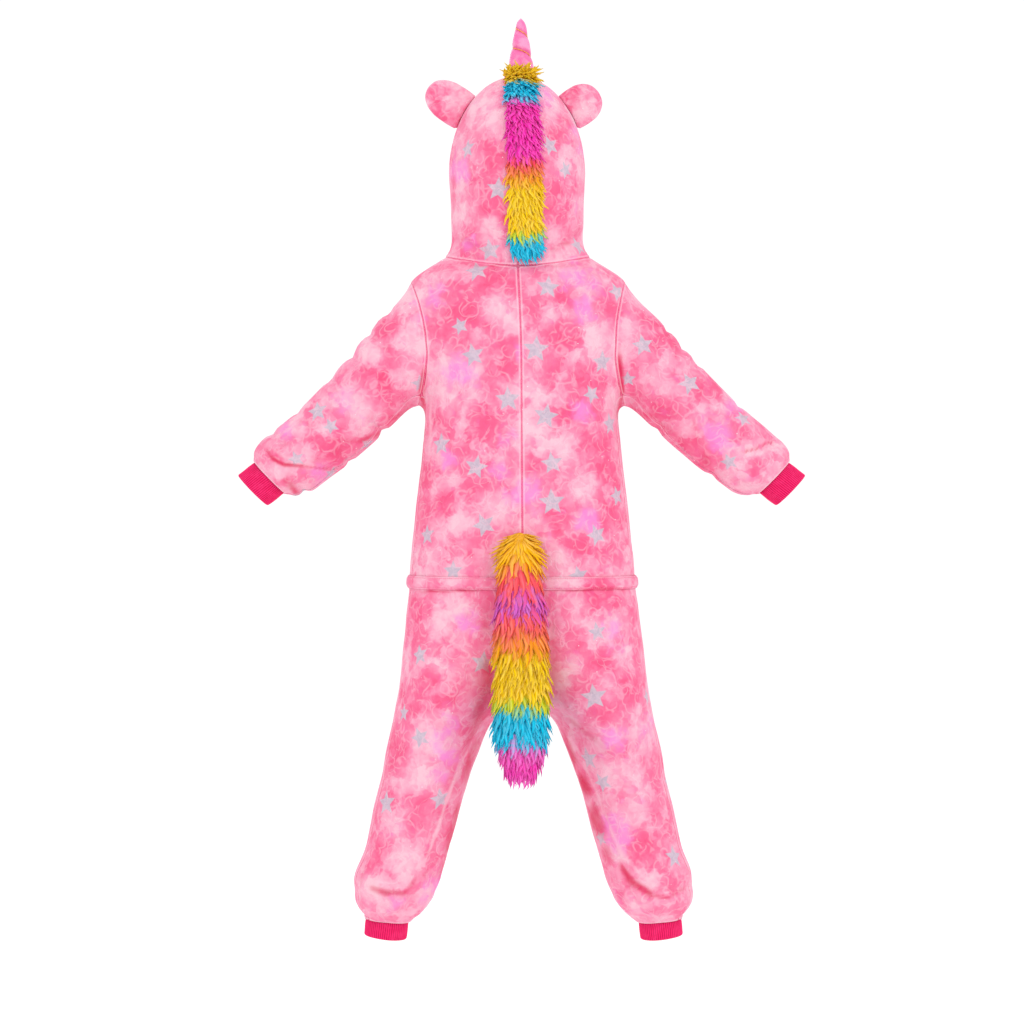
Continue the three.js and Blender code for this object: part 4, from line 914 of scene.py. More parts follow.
# Cloudy dye on the back: place and radius in the chart, how deep the pink (below 0 paler), how lilac.
DYE = [
    # hood
    (485, 108, 17, -0.7, 0), (466, 124, 12, 0.3, 0), (500, 132, 12, -0.4, 0), (490, 154, 19, 0.7, 0),
    (464, 150, 11, -0.4, 0), (460, 171, 12, -0.1, 0.8), (481, 196, 20, 0.6, 0), (500, 211, 12, 0.8, 0),
    (461, 212, 13, -0.6, 0), (474, 240, 17, 0.6, 0), (471, 245, 8, 0.4, 1), (490, 228, 9, -0.5, 0),
    (456, 246, 9, -0.2, 0), (545, 93, 13, -0.2, 0.7), (552, 108, 13, -0.5, 0.1), (561, 133, 14, 0.4, 0),
    (546, 160, 12, 0.4, 0), (577, 130, 10, -0.3, 0.6), (570, 166, 12, -0.5, 0), (561, 188, 14, 0.5, 0),
    (556, 214, 13, 0.5, 0), (578, 205, 10, -0.4, 0.3), (546, 232, 11, -0.4, 0), (572, 232, 11, 0.3, 0),
    (581, 150, 8, -0.4, 0.5), (560, 252, 10, -0.2, 0), (505, 100, 8, 0.3, 0), (455, 190, 8, -0.5, 0.2),
    (566, 118, 9, 0.5, 0), (480, 128, 8, -0.3, 0),
    # back
    (499, 282, 21, 0.9, 0), (538, 270, 15, 0.5, 0), (443, 287, 14, 0.3, 0), (436, 297, 13, 0.1, 0.7),
    (457, 290, 12, 0.5, 0), (417, 300, 9, -0.5, 0.3), (462, 320, 21, 0.8, 0), (455, 341, 13, 0.6, 0),
    (500, 313, 19, -0.8, 0), (489, 299, 11, -0.5, 0), (531, 313, 15, 0.8, 0), (574, 275, 17, 0, 0.7),
    (596, 287, 13, 0.1, 0.6), (605, 301, 11, 0.8, 0), (582, 312, 14, 0, 0.85), (567, 299, 12, 0.6, 0),
    (553, 320, 11, -0.3, 0.2), (568, 331, 14, 0.6, 0), (600, 330, 11, -0.3, 0), (585, 348, 15, -0.7, 0),
    (552, 337, 12, 0.5, 0), (521, 352, 7, 0, 0.7), (502, 357, 17, 0.7, 0), (481, 340, 11, -0.3, 0),
    (444, 365, 16, -0.8, 0), (461, 371, 17, -0.2, 1), (491, 385, 16, 0.6, 0), (540, 376, 13, -0.3, 0),
    (579, 378, 23, 0.8, 0), (538, 397, 13, -0.4, 0), (440, 394, 12, -0.4, 0), (452, 408, 11, -0.8, 0),
    (437, 419, 10, 0.4, 0), (484, 424, 19, 0.7, 0), (500, 402, 12, 0.4, 0), (536, 434, 21, -0.9, 0),
    (510, 436, 12, 0, 0.7), (570, 417, 15, 0.6, 0), (583, 413, 11, 0, 1), (601, 424, 9, -0.3, 0),
    (594, 447, 17, 0.8, 0), (560, 443, 11, -0.4, 0), (448, 459, 9, 0.2, 1), (438, 447, 10, -0.5, 0),
    (472, 487, 19, 0.6, 0), (431, 471, 11, 0.3, 0), (498, 469, 11, 0, 0.7), (527, 493, 16, 0, 0.9),
    (506, 495, 9, -0.2, 0.6), (510, 454, 13, -0.6, 0), (521, 474, 11, -0.5, 0), (538, 464, 11, 0.6, 0),
    (573, 472, 12, 0.5, 0), (600, 465, 14, 0.8, 0), (586, 487, 15, -0.7, 0), (610, 482, 12, 0.5, 0),
    (499, 512, 18, -0.8, 0), (445, 504, 16, 0.6, 0), (461, 522, 15, -0.5, 0), (446, 535, 12, -0.3, 0),
    (429, 511, 10, 0.5, 0), (468, 546, 14, 0.6, 0), (548, 536, 10, -0.1, 0.6), (562, 519, 15, 0.6, 0),
    (588, 519, 14, -0.1, 0.9), (574, 521, 9, -0.5, 0), (610, 522, 14, 0.7, 0), (561, 558, 13, -0.4, 0),
    (601, 556, 12, 0.5, 0), (579, 549, 11, 0.5, 0), (592, 567, 9, -0.3, 0), (480, 561, 12, 0.6, 0),
    (440, 562, 11, 0.4, 0), (426, 556, 10, -0.3, 0.1), (610, 396, 11, -0.3, 0), (430, 335, 10, 0.4, 0),
    (420, 322, 8, 0, 0.5), (617, 310, 9, 0.3, 0), (428, 494, 9, -0.2, 0), (612, 445, 9, 0.2, 0),
    (470, 440, 10, 0.3, 0), (555, 395, 9, 0.5, 0), (520, 330, 9, -0.3, 0), (598, 502, 9, 0.3, 0),
    (540, 515, 9, -0.4, 0.2),
    # waist and seat
    (455, 585, 14, -0.3, 0), (480, 590, 12, 0.3, 0), (430, 585, 11, 0.2, 0), (565, 585, 12, -0.4, 0.1),
    (606, 587, 12, 0.2, 0), (600, 597, 18, 0.9, 0), (570, 604, 13, -0.5, 0), (560, 622, 11, 0.5, 0),
    (422, 608, 14, 0.6, 0), (453, 604, 13, -0.5, 0), (465, 623, 13, 0.2, 1), (441, 631, 14, -0.7, 0),
    (613, 627, 12, -0.2, 0.8), (631, 618, 11, 0.4, 0), (475, 645, 11, 0.3, 0),
    # left leg
    (413, 627, 15, 0.5, 0), (450, 650, 12, 0.3, 0), (445, 670, 12, -0.6, 0), (428, 688, 20, 0.7, 0),
    (466, 671, 11, -0.4, 0), (413, 703, 13, 0.5, 0), (445, 712, 11, -0.2, 0.1), (441, 737, 18, -0.5, 0.5),
    (452, 723, 11, 0, 0.6), (444, 756, 13, 0, 1), (428, 747, 11, -0.7, 0), (397, 750, 13, 0.6, 0),
    (413, 781, 15, -0.9, 0), (441, 776, 10, 0, 0.6), (459, 789, 9, 0.5, 0.1), (398, 798, 11, 0.5, 0),
    (423, 816, 20, 0.6, 0), (394, 828, 12, -0.5, 0.2), (444, 838, 11, 0.5, 0), (384, 853, 11, 0.4, 0),
    (407, 861, 14, -0.6, 0), (435, 884, 13, 0, 0.8), (369, 889, 13, -0.7, 0), (397, 903, 12, -0.4, 0.5),
    (425, 902, 11, -0.1, 0.5), (455, 700, 11, 0.5, 0), (418, 667, 11, -0.1, 0), (470, 735, 10, 0.5, 0),
    (372, 862, 9, 0.3, 0), (390, 873, 9, 0.5, 0), (425, 850, 10, 0.1, 0.1), (403, 728, 10, 0.2, 0.2),
    (435, 797, 9, -0.1, 0),
    # right leg
    (576, 640, 12, 0.5, 0), (617, 648, 11, -0.1, 0.4), (602, 660, 14, 0.7, 0), (575, 671, 12, -0.5, 0),
    (628, 664, 13, -0.5, 0), (570, 692, 10, 0.5, 0), (600, 713, 16, 0.8, 0), (580, 709, 11, -0.5, 0),
    (632, 693, 16, 0.6, 0), (615, 739, 14, 0, 1), (641, 735, 12, -0.5, 0.3), (655, 722, 8, 0, 0.6),
    (615, 772, 21, -0.9, 0), (651, 769, 15, 0.6, 0), (592, 788, 10, 0.2, 0), (622, 800, 11, 0.3, 0.2),
    (655, 811, 15, 0.7, 0), (618, 835, 17, -0.1, 0.8), (610, 822, 7, 0.3, 1), (641, 844, 15, 0.6, 0),
    (621, 857, 12, -0.6, 0), (672, 836, 11, 0.5, 0), (645, 877, 12, -0.8, 0), (679, 879, 11, 0.3, 0),
    (640, 906, 16, -0.5, 0.2), (681, 896, 9, 0.3, 0), (612, 900, 12, 0, 0.4), (640, 640, 10, 0.4, 0),
    (636, 790, 10, -0.4, 0.2), (588, 745, 10, 0.2, 0),
    # left sleeve
    (389, 327, 16, 0.8, 0), (404, 300, 14, -0.8, 0), (410, 335, 17, -0.8, 0), (369, 350, 13, -0.5, 0),
    (386, 358, 10, 0.4, 0), (342, 376, 10, 0.5, 0), (374, 384, 17, 0.8, 0), (401, 381, 13, -0.5, 0),
    (344, 401, 15, -0.5, 0.4), (312, 443, 15, 0.6, 0), (362, 418, 13, -0.6, 0.2), (387, 414, 13, 0.5, 0),
    (341, 449, 17, 0.6, 0), (289, 430, 12, -0.1, 0.6), (301, 455, 13, -0.8, 0), (271, 441, 11, -0.2, 0),
    (321, 475, 13, -0.1, 0.7), (286, 482, 9, 0.5, 0), (266, 474, 11, -0.5, 0), (360, 398, 9, -0.1, 0.2),
    (322, 400, 9, -0.4, 0), (395, 440, 9, 0.4, 0), (420, 345, 9, -0.5, 0), (350, 360, 9, 0.3, 0.2),
    (275, 455, 8, 0.5, 0), (300, 425, 9, -0.4, 0.1), (328, 425, 8, -0.4, 0), (375, 410, 8, 0.3, 0),
    (415, 365, 9, -0.3, 0),
    # right sleeve
    (637, 297, 11, -0.4, 0), (631, 321, 12, -0.5, 0.2), (669, 338, 16, 0.8, 0), (641, 369, 12, 0.3, 0),
    (660, 362, 10, -0.5, 0), (655, 391, 15, -0.8, 0), (668, 414, 16, 0.7, 0), (688, 343, 8, -0.1, 0.6),
    (710, 391, 14, 0.8, 0), (734, 405, 11, 0.1, 0.8), (720, 438, 17, 0, 1), (757, 433, 15, 0.5, 0),
    (767, 459, 10, 0.6, 0), (781, 447, 9, -0.7, 0), (737, 472, 11, -0.5, 0.2), (706, 460, 11, 0.5, 0),
    (750, 490, 10, -0.4, 0), (745, 452, 9, -0.3, 0), (690, 400, 10, -0.3, 0), (645, 415, 10, 0.3, 0),
    (685, 440, 10, 0.5, 0), (705, 415, 9, 0.1, 0.4), (655, 320, 9, 0.4, 0), (700, 365, 9, 0.3, 0),
    (755, 470, 9, 0.4, 0), (625, 345, 9, -0.2, 0), (720, 410, 8, -0.4, 0), (770, 480, 9, -0.3, 0),
]
# Lines in the same chart: from, to, half-width, strength. Above 0 they are hollows with painted shade in deep
# crimson, below 0 ridges with a pale painted highlight.
LINES = [
    (425, 362, 422, 400, 3.4, 1.0), (422, 400, 422, 440, 3.4, 0.75), (422, 440, 419, 500, 4, 0.4),
    (432, 372, 429, 470, 2.2, -0.6), (618, 345, 621, 392, 3.6, 1.0), (621, 392, 619, 425, 3.2, 0.75),
    (613, 330, 615, 385, 2.2, -0.55), (428, 300, 427, 350, 2.2, 0.3), (487, 645, 488, 720, 10, 0.6),
    (485, 690, 472, 745, 9, 0.6), (472, 745, 464, 790, 7, 0.6), (461, 797, 448, 850, 5, 0.75),
    (448, 850, 437, 885, 4, 0.5), (489, 716, 470, 745, 2.2, -0.6), (470, 745, 455, 776, 2.2, -0.7),
    (455, 776, 430, 850, 2.2, -0.7), (430, 850, 414, 892, 2.2, -0.4), (553, 600, 554, 700, 8, 0.5),
    (561, 733, 576, 775, 8, 0.75), (577, 770, 592, 800, 8, 0.8), (590, 800, 603, 840, 8, 0.8),
    (602, 840, 613, 868, 6, 0.6), (562, 714, 604, 746, 3.5, 0.5), (562, 722, 586, 766, 2.2, -0.5),
    (586, 766, 606, 818, 2.2, -0.7), (606, 818, 628, 870, 2.2, -0.7), (487, 590, 486, 645, 7, 0.5),
    (489, 558, 487, 595, 6, 0.25), (552, 560, 554, 600, 6, 0.25), (282, 478, 289, 484, 5, 0.6),
    (289, 484, 299, 496, 5, 0.7), (265, 449, 271, 457, 2.4, 0.7), (271, 457, 285, 465, 2.4, 0.85),
    (285, 465, 302, 466, 2.4, 0.8), (302, 466, 343, 470, 2.4, 0.6), (268, 446, 286, 458, 2.2, -0.5),
    (286, 458, 302, 459, 2.2, -0.5), (325, 441, 360, 440, 4, 0.4), (360, 440, 392, 431, 4, 0.6),
    (640, 408, 692, 450, 5, 0.4), (699, 452, 712, 468, 5, 0.55), (692, 412, 700, 452, 4.5, 0.35),
    (740, 453, 757, 450, 2.4, 0.6), (757, 450, 776, 439, 2.4, 0.6), (744, 457, 760, 454, 1.8, -0.7),
    (760, 454, 779, 443, 1.8, -0.7), (700, 412, 708, 452, 2.2, -0.4), (368, 886, 385, 893, 4, 0.7),
    (385, 893, 405, 893, 4, 0.75), (405, 893, 430, 866, 3.5, 0.55), (370, 880, 404, 886, 2.2, -0.5),
    (618, 862, 634, 884, 4.5, 0.85), (634, 884, 650, 895, 4, 0.8), (650, 895, 668, 897, 2.6, 0.7),
    (668, 897, 690, 884, 2.6, 0.5), (630, 862, 655, 887, 2.4, -0.5), (655, 901, 675, 903, 2.2, -0.4),
    (456, 236, 492, 252, 5, 0.5), (545, 252, 577, 238, 4, 0.5), (462, 232, 494, 245, 2.4, -0.3),
    (452, 262, 486, 266, 2.5, 0.4), (486, 266, 560, 266, 2.2, 0.4), (560, 266, 584, 262, 2.5, 0.4),
    (400, 640, 396, 700, 3, -0.3), (652, 660, 664, 730, 3, -0.3), (423, 480, 417, 570, 3, -0.35),
    (622, 450, 634, 560, 3, -0.3), (385, 425, 415, 404, 3, 0.4), (412, 300, 421, 350, 2.2, -0.35),
    (345, 470, 385, 440, 4, 0.3), (370, 345, 392, 350, 3, 0.35), (352, 366, 372, 372, 3, 0.35),
    (330, 387, 346, 396, 3, 0.35), (298, 419, 316, 428, 3, 0.35), (668, 339, 684, 356, 3, 0.3),
    (697, 369, 702, 386, 3, 0.35), (740, 410, 750, 425, 3, 0.3), (365, 860, 360, 895, 3, 0.3),
    (408, 591, 490, 591, 1.7, 0.75), (552, 590, 636, 589, 1.7, 0.75), (410, 577, 490, 580, 1.6, -0.5),
    (552, 579, 636, 576, 1.6, -0.5), (453, 140, 452, 246, 1.8, 0.35), (457, 138, 456, 246, 1.8, -0.4),
    (584, 140, 585, 240, 1.8, 0.35), (580, 138, 581, 240, 1.8, -0.4), (690, 850, 692, 880, 3, 0.3),
    (420, 540, 412, 572, 3, 0.3), (632, 500, 637, 560, 3, 0.35), (612, 280, 600, 300, 3, 0.2),
]
LINE_ENDS = [end for line in LINES for end in (line[:2], line[2:4])]


def shown_mm(q):
    """The chart's places for points in millimetres that the garment's lean hasn't moved yet."""
    shift = np.zeros_like(q)
    shift[..., 0] = LEAN(q[..., 2])["by"]
    return shown_at((q + shift) * MM)


def drawn(q):
    """The drawn lines' painted shade, above 0, and painted highlight, below 0, at points in millimetres, and how deep
    they lie.
    """
    x, y = shown_mm(q)
    x, y = x + 1.5 * cloud(q, 17, 71), y + 1.5 * cloud(q, 17, 72)
    sight = ease(-25, 8, q[:, 1]) * (0.8 + 0.2 * cloud(q, 12, 73))
    # deep gathers the painted shade of the hollows, pale the painted highlight of the ridges.
    deep, pale, low = np.zeros(len(q)), np.zeros(len(q)), np.zeros(len(q))
    for x0, y0, x1, y1, wide, strength in LINES:
        d = np.array([x1 - x0, y1 - y0], float)
        near = (np.abs(x - (x0 + x1) / 2) < abs(d[0]) / 2 + 2.5 * wide) & (
            np.abs(y - (y0 + y1) / 2) < abs(d[1]) / 2 + 2.5 * wide
        )
        if not near.any():
            continue
        t = ((x[near] - x0) * d[0] + (y[near] - y0) * d[1]) / (d @ d)
        fade = 1.0
        if LINE_ENDS.count((x0, y0)) < 2:
            fade = fade * ease(-0.12, 0.35, t)
        if LINE_ENDS.count((x1, y1)) < 2:
            fade = fade * ease(1.12, 0.65, t)
        t = np.clip(t, 0, 1)
        away = np.hypot(x[near] - x0 - d[0] * t, y[near] - y0 - d[1] * t)
        mark = np.exp(-((away / wide) ** 2)) * sight[near] * fade * abs(strength)
        kept = deep if strength > 0 else pale
        kept[near] = np.maximum(kept[near], mark)
        side_height = (2.6 if strength > 0 else -1.1) * min(1, 4 / wide, wide / 3.5) * mark
        low[near] = np.where(np.abs(side_height) > np.abs(low[near]), side_height, low[near])
    return deep - pale, low * ease(5, 14, np.abs(neck_seam(q)))


def dye_and_shade_at(q, out):
    """Deep or pale pink, lilac, and the lines' painted shade and highlight, at points in millimetres.

    Cloth out of the chart's sight is left to chance.
    """
    x, y = shown_mm(q)
    x = x + 6 * cloud(q, 15, 31) + 3.5 * cloud(q, 6, 33)
    y = y + 6 * cloud(q, 15, 32) + 3.5 * cloud(q, 6, 34)
    sight = ease(-0.1, 0.25, out[:, 1])
    deep, lilac = np.zeros(len(x)), np.zeros(len(x))
    for px, py, radius, pink, violet in DYE:
        near = np.exp(-(((x - px) ** 2 + (y - py) ** 2) / radius**2) ** 1.4)
        deep += pink * near
        lilac = np.maximum(lilac, violet * near)
    chance = 1.2 * cloud(q, 42, 35) + 0.5 * cloud(q, 18, 36)
    violet = np.clip(2.4 * cloud(q, 60, 37) - 0.9, 0, 1)
    line_shade_and_highlight, _ = drawn(q)
    pink = np.clip(deep, -1, 1) * sight + chance * (1 - 0.72 * sight)
    return np.stack([pink, lilac * sight + violet * (1 - sight), line_shade_and_highlight], axis=1)


# ---------------------------------------------------------------- materials
def colour(r, g, b):
    """A colour as the eye names it, 0 to 255, in the linear values that a shader takes."""
    c = np.array([r, g, b]) / 255
    return (*np.where(c <= 0.04045, c / 12.92, ((c + 0.055) / 1.055) ** 2.4).tolist(), 1.0)


WHITE = (1.0, 1.0, 1.0, 1.0)
CURL_PINK = colour(250, 196, 214)
YELLOW, CYAN, MAGENTA = colour(255, 212, 2), colour(0, 200, 236), colour(255, 50, 186)
ORANGE, CORAL, LIME = colour(255, 156, 14), colour(255, 84, 96), colour(186, 216, 30)
PURPLE, SALMON, LILAC_PINK = colour(220, 92, 200), colour(255, 116, 84), colour(248, 118, 210)
GOLD = colour(255, 190, 4)
# Colours by the depth of the dye, and by the share of the mane's and the tail's length.
FLANNEL_DYE = [
    (0.12, colour(240, 190, 205)), (0.27, colour(240, 172, 194)), (0.42, colour(240, 146, 177)),
    (0.55, colour(239, 122, 159)), (0.70, colour(238, 101, 143)), (0.88, colour(234, 84, 128)),
]
MANE_BANDS = [
    (0.0, YELLOW), (0.06, YELLOW), (0.155, YELLOW), (0.175, CYAN), (0.255, CYAN), (0.285, MAGENTA),
    (0.51, MAGENTA), (0.54, CORAL), (0.59, ORANGE), (0.65, YELLOW), (0.86, YELLOW), (0.885, LIME),
    (0.91, CYAN), (1.0, CYAN),
]
TAIL_BANDS = [
    (0.0, GOLD), (0.07, GOLD), (0.105, ORANGE), (0.14, CORAL), (0.18, CORAL), (0.21, PURPLE),
    (0.25, PURPLE), (0.28, CORAL), (0.33, SALMON), (0.385, ORANGE), (0.425, YELLOW), (0.575, YELLOW),
    (0.61, LIME), (0.64, CYAN), (0.75, CYAN), (0.775, LILAC_PINK), (0.86, MAGENTA), (1.0, LILAC_PINK),
]
# Arcs of the curled pile: cell size in metres, reach within the cell, width, and shift.
ARCS = [
    (0.023, 0.5, 0.085, (0.3, 0.1, 0.5)), (0.031, 0.44, 0.065, (0.7, 0.4, 0.2)),
    (0.019, 0.46, 0.1, (0.1, 0.8, 0.6)),
]
# A star's straight side: where its line lies, and how steeply it falls away from the tip.
SIDE_ALONG, SIDE_OFF = 0.384, 0.9233


def add(tree, kind, inputs=None, **settings):
    """A node with its settings made and its inputs set or linked."""
    made = tree.nodes.new(kind)
    for key, value in settings.items():
        setattr(made, key, value)
    for key, value in (inputs or {}).items():
        if isinstance(value, bpy.types.NodeSocket):
            tree.links.new(value, made.inputs[key])
        else:
            made.inputs[key].default_value = value
    return made


def maths(tree, operation, *values):
    return add(tree, "ShaderNodeMath", dict(enumerate(values)), operation=operation).outputs[0]


def times(tree, a, b):
    return maths(tree, "MULTIPLY", a, b)


def plus(tree, a, b):
    return maths(tree, "ADD", a, b)


def on_line(tree, value, slope, start):
    return maths(tree, "MULTIPLY_ADD", value, slope, start)


def centred(tree, value):
    return maths(tree, "SUBTRACT", value, 0.5)


def vector_maths(tree, operation, *values):
    return add(tree, "ShaderNodeVectorMath", dict(enumerate(values)), operation=operation).outputs[0]


def scaled(tree, vector, by):
    return add(tree, "ShaderNodeVectorMath", {0: vector, "Scale": by}, operation="SCALE").outputs[0]


def xyz_of(tree, vector):
    return add(tree, "ShaderNodeSeparateXYZ", {0: vector}).outputs


def mixed(tree, factor, a, b, how="MIX"):
    return add(tree, "ShaderNodeMix", {0: factor, 6: a, 7: b}, data_type="RGBA", blend_type=how).outputs[2]


def noise(tree, where, size, detail=2.0, rough=0.5, bend=0.0, output=0):
    """Noise with lumps of about the given size in metres."""
    inputs = {"Vector": where, "Scale": 1 / size, "Detail": detail, "Roughness": rough, "Distortion": bend}
    return add(tree, "ShaderNodeTexNoise", inputs).outputs[output]


def step(tree, value, low, high, bottom=0.0, top=1.0):
    inputs = {"Value": value, "From Min": low, "From Max": high, "To Min": bottom, "To Max": top}
    return add(tree, "ShaderNodeMapRange", inputs, interpolation_type="SMOOTHSTEP").outputs[0]


def attribute(tree, name, part=None):
    found = add(tree, "ShaderNodeAttribute", attribute_name=name).outputs["Vector"]
    return found if part is None else xyz_of(tree, found)[part]


def colour_ramp(tree, where, stops):
    ramp = add(tree, "ShaderNodeValToRGB", {0: where})
    first, last = ramp.color_ramp.elements
    first.position, first.color = stops[0]
    last.position, last.color = stops[-1]
    for position, stop_colour in stops[1:-1]:
        ramp.color_ramp.elements.new(position).color = stop_colour
    return ramp.outputs[0]


def new_material(name, **shader):
    material = bpy.data.materials.new(name)
    material.use_nodes = True
    tree = material.node_tree
    shade = tree.nodes["Principled BSDF"]
    for key, value in shader.items():
        shade.inputs[key.replace("_", " ").title().replace("Ior", "IOR")].default_value = value
    where = add(tree, "ShaderNodeTexCoord").outputs["Object"]
    return material, tree, shade, where


def bumped(tree, shade, heights, normal=None):
    """Chains bumps: (height, strength, depth in metres)."""
    for value, strength, depth in heights:
        inputs = {"Height": value, "Strength": strength, "Distance": depth}
        if normal is not None:
            inputs["Normal"] = normal
        normal = add(tree, "ShaderNodeBump", inputs).outputs[0]
    tree.links.new(normal, shade.inputs["Normal"])


def star_group():
    """Turns a place within a star into a mask: five points, straight sides."""
    group = bpy.data.node_groups.new("five_pointed_star", "ShaderNodeTree")
    group.interface.new_socket("Place", in_out="INPUT", socket_type="NodeSocketVector")
    group.interface.new_socket("Mask", in_out="OUTPUT", socket_type="NodeSocketFloat")
    inside, outside = group.nodes.new("NodeGroupInput"), group.nodes.new("NodeGroupOutput")
    x, y, fade = xyz_of(group, inside.outputs[0])
    reach = maths(group, "SQRT", plus(group, times(group, x, x), times(group, y, y)))
    turn = maths(group, "PINGPONG", maths(group, "ARCTAN2", x, y), math.radians(36))
    along_tip = times(group, reach, maths(group, "COSINE", turn))
    off_tip = times(group, reach, maths(group, "SINE", turn))
    depth = plus(group, times(group, off_tip, -SIDE_OFF), times(group, along_tip, -SIDE_ALONG))
    mask = times(group, step(group, plus(group, depth, SIDE_ALONG), -0.03, 0.035), fade)
    group.links.new(mask, outside.inputs[0])
    return group


FIVE_POINTS = star_group()


def pile_curls(tree, where):
    """Curled pile: pale, thin, broken arcs and flowing lines between them."""
    curls = []
    wander = noise(tree, where, 0.02, 1.0, output=1)
    eased = vector_maths(tree, "MULTIPLY_ADD", wander, (0.012, 0.012, 0.012), where)
    for size, reach, width, shift in ARCS:
        cells = vector_maths(tree, "ADD", eased, shift)
        ring = add(tree, "ShaderNodeTexVoronoi", {"Vector": cells, "Scale": 1 / size}).outputs["Distance"]
        off = maths(tree, "ABSOLUTE", maths(tree, "SUBTRACT", ring, reach))
        gaps = noise(tree, vector_maths(tree, "ADD", where, shift), size * 0.9, 1.0)
        curls.append(times(tree, step(tree, off, 0.0, width, 1.0, 0.0), step(tree, gaps, 0.46, 0.62)))
    arcs = maths(tree, "MAXIMUM", maths(tree, "MAXIMUM", *curls[:2]), curls[2])
    off = maths(tree, "ABSOLUTE", centred(tree, noise(tree, where, 0.03, 1.0, 0.4, 1.2)))
    gaps = noise(tree, where, 0.02, 1.0)
    flowing = times(tree, step(tree, off, 0.0, 0.03, 1.0, 0.0), step(tree, gaps, 0.5, 0.64))
    return maths(tree, "MAXIMUM", arcs, flowing)


def printed(tree, where, base, curls):
    """Grey-lilac stars, then the curls, the drawn lines' painted shade and highlight, the seams' painted highlight and
    shade, and the paler inner face over them.
    """
    mask = maths(tree, "MAXIMUM", *[
        add(tree, "ShaderNodeGroup", {0: attribute(tree, layer)}, node_tree=FIVE_POINTS).outputs[0]
        for layer in ("star_a", "star_b")
    ])
    streaks = noise(tree, where, 0.006, 3.0, 0.6, 0.8)
    grey = mixed(tree, step(tree, streaks, 0.35, 0.65), colour(188, 176, 192), colour(204, 190, 204))
    base = mixed(tree, times(tree, mask, 0.92), base, grey)
    base = mixed(tree, times(tree, curls, 0.36), base, CURL_PINK)
    # Painted shade in deep crimson along the drawn lines' hollows, and a pale painted highlight along their ridges.
    line_shade_and_highlight = attribute(tree, "dye", 2)
    base = mixed(tree, step(tree, line_shade_and_highlight, 0.05, 0.85, 0.0, 0.92), base, colour(214, 30, 80))
    pale = step(tree, times(tree, line_shade_and_highlight, -1.0), 0.05, 0.8, 0.0, 0.8)
    base = mixed(tree, pale, base, colour(246, 200, 214))
    # Along the seams: a pale painted highlight on the lip beside each seam and painted shade down in its ditch.
    edge = attribute(tree, "sewn", 0)
    rim = times(tree, step(tree, edge, 1.0, 2.2), step(tree, edge, 4.6, 2.6))
    base = mixed(tree, times(tree, rim, 0.5), base, colour(250, 200, 216))
    base = mixed(tree, step(tree, edge, 0.3, 1.7, 0.6, 0.0), base, colour(232, 70, 124))
    return mixed(tree, times(tree, attribute(tree, "sewn", 2), 0.55), base, colour(243, 190, 208))


def glints(tree, where):
    """Tiny glints in loose clusters."""
    cell = add(tree, "ShaderNodeTexVoronoi", {"Vector": where, "Scale": 1 / 0.0085, "Randomness": 1.0})
    chosen = xyz_of(tree, cell.outputs["Color"])[0]
    cluster = step(tree, noise(tree, where, 0.06, 1.0), 0.5, 0.62, 0.95, 0.75)
    spot = step(tree, cell.outputs["Distance"], 0.06, 0.11, 1.0, 0.0)
    return times(tree, spot, maths(tree, "GREATER_THAN", chosen, cluster))


def flannel_material(name, stars=True):
    material, tree, shade, where = new_material(
        name, roughness=0.92, sheen_weight=0.2, sheen_roughness=0.4, sheen_tint=colour(255, 220, 232),
        specular_ior_level=0.12,
    )
    cloudy = noise(tree, where, 0.04, 3.0, 0.55, 0.3)
    ragged = centred(tree, noise(tree, where, 0.012, 2.0, 0.5, 0.8))
    wide, fine = (0.55, 0.32) if stars else (1.5, 0.6)
    tone = on_line(tree, centred(tree, cloudy), wide, on_line(tree, ragged, fine, 0.45))
    drift = noise(tree, where, 0.012, 2.0, output=1)
    drift = vector_maths(tree, "ADD", drift, (-0.5, -0.5, -0.5))
    bent = vector_maths(tree, "MULTIPLY_ADD", drift, (0.02, 0.02, 0.02), where)
    for size, share in ((0.026, 0.24), (0.015, 0.17)):
        inputs = {"Vector": bent, "Scale": 1 / size, "Smoothness": 0.12}
        petal = add(tree, "ShaderNodeTexVoronoi", inputs, feature="SMOOTH_F1")
        chance = centred(tree, xyz_of(tree, petal.outputs["Color"])[0])
        tone = on_line(tree, chance, share, tone)
    if stars:
        tone = on_line(tree, attribute(tree, "dye", 0), 0.3, tone)
    base = colour_ramp(tree, tone, FLANNEL_DYE)
    curls = pile_curls(tree, where)
    if stars:
        violet = on_line(tree, ragged, 1.1, on_line(tree, chance, 0.35, attribute(tree, "dye", 1)))
        base = mixed(tree, step(tree, violet, 0.1, 1.05, 0.0, 0.72), base, colour(243, 142, 214))
        base = printed(tree, where, base, curls)
    else:
        base = mixed(tree, times(tree, curls, 0.36), base, CURL_PINK)
    base = mixed(tree, times(tree, glints(tree, where), 0.8), base, colour(252, 232, 240))
    tree.links.new(base, shade.inputs["Base Color"])
    pile = noise(tree, where, 0.0014, 2.0, 0.6)
    tufts = noise(tree, where, 0.006, 2.0, 0.6, 1.0)
    bumped(tree, shade, [(tufts, 0.35, 0.0016), (curls, 0.5, 0.0009), (pile, 0.35, 0.0006)])
    return material


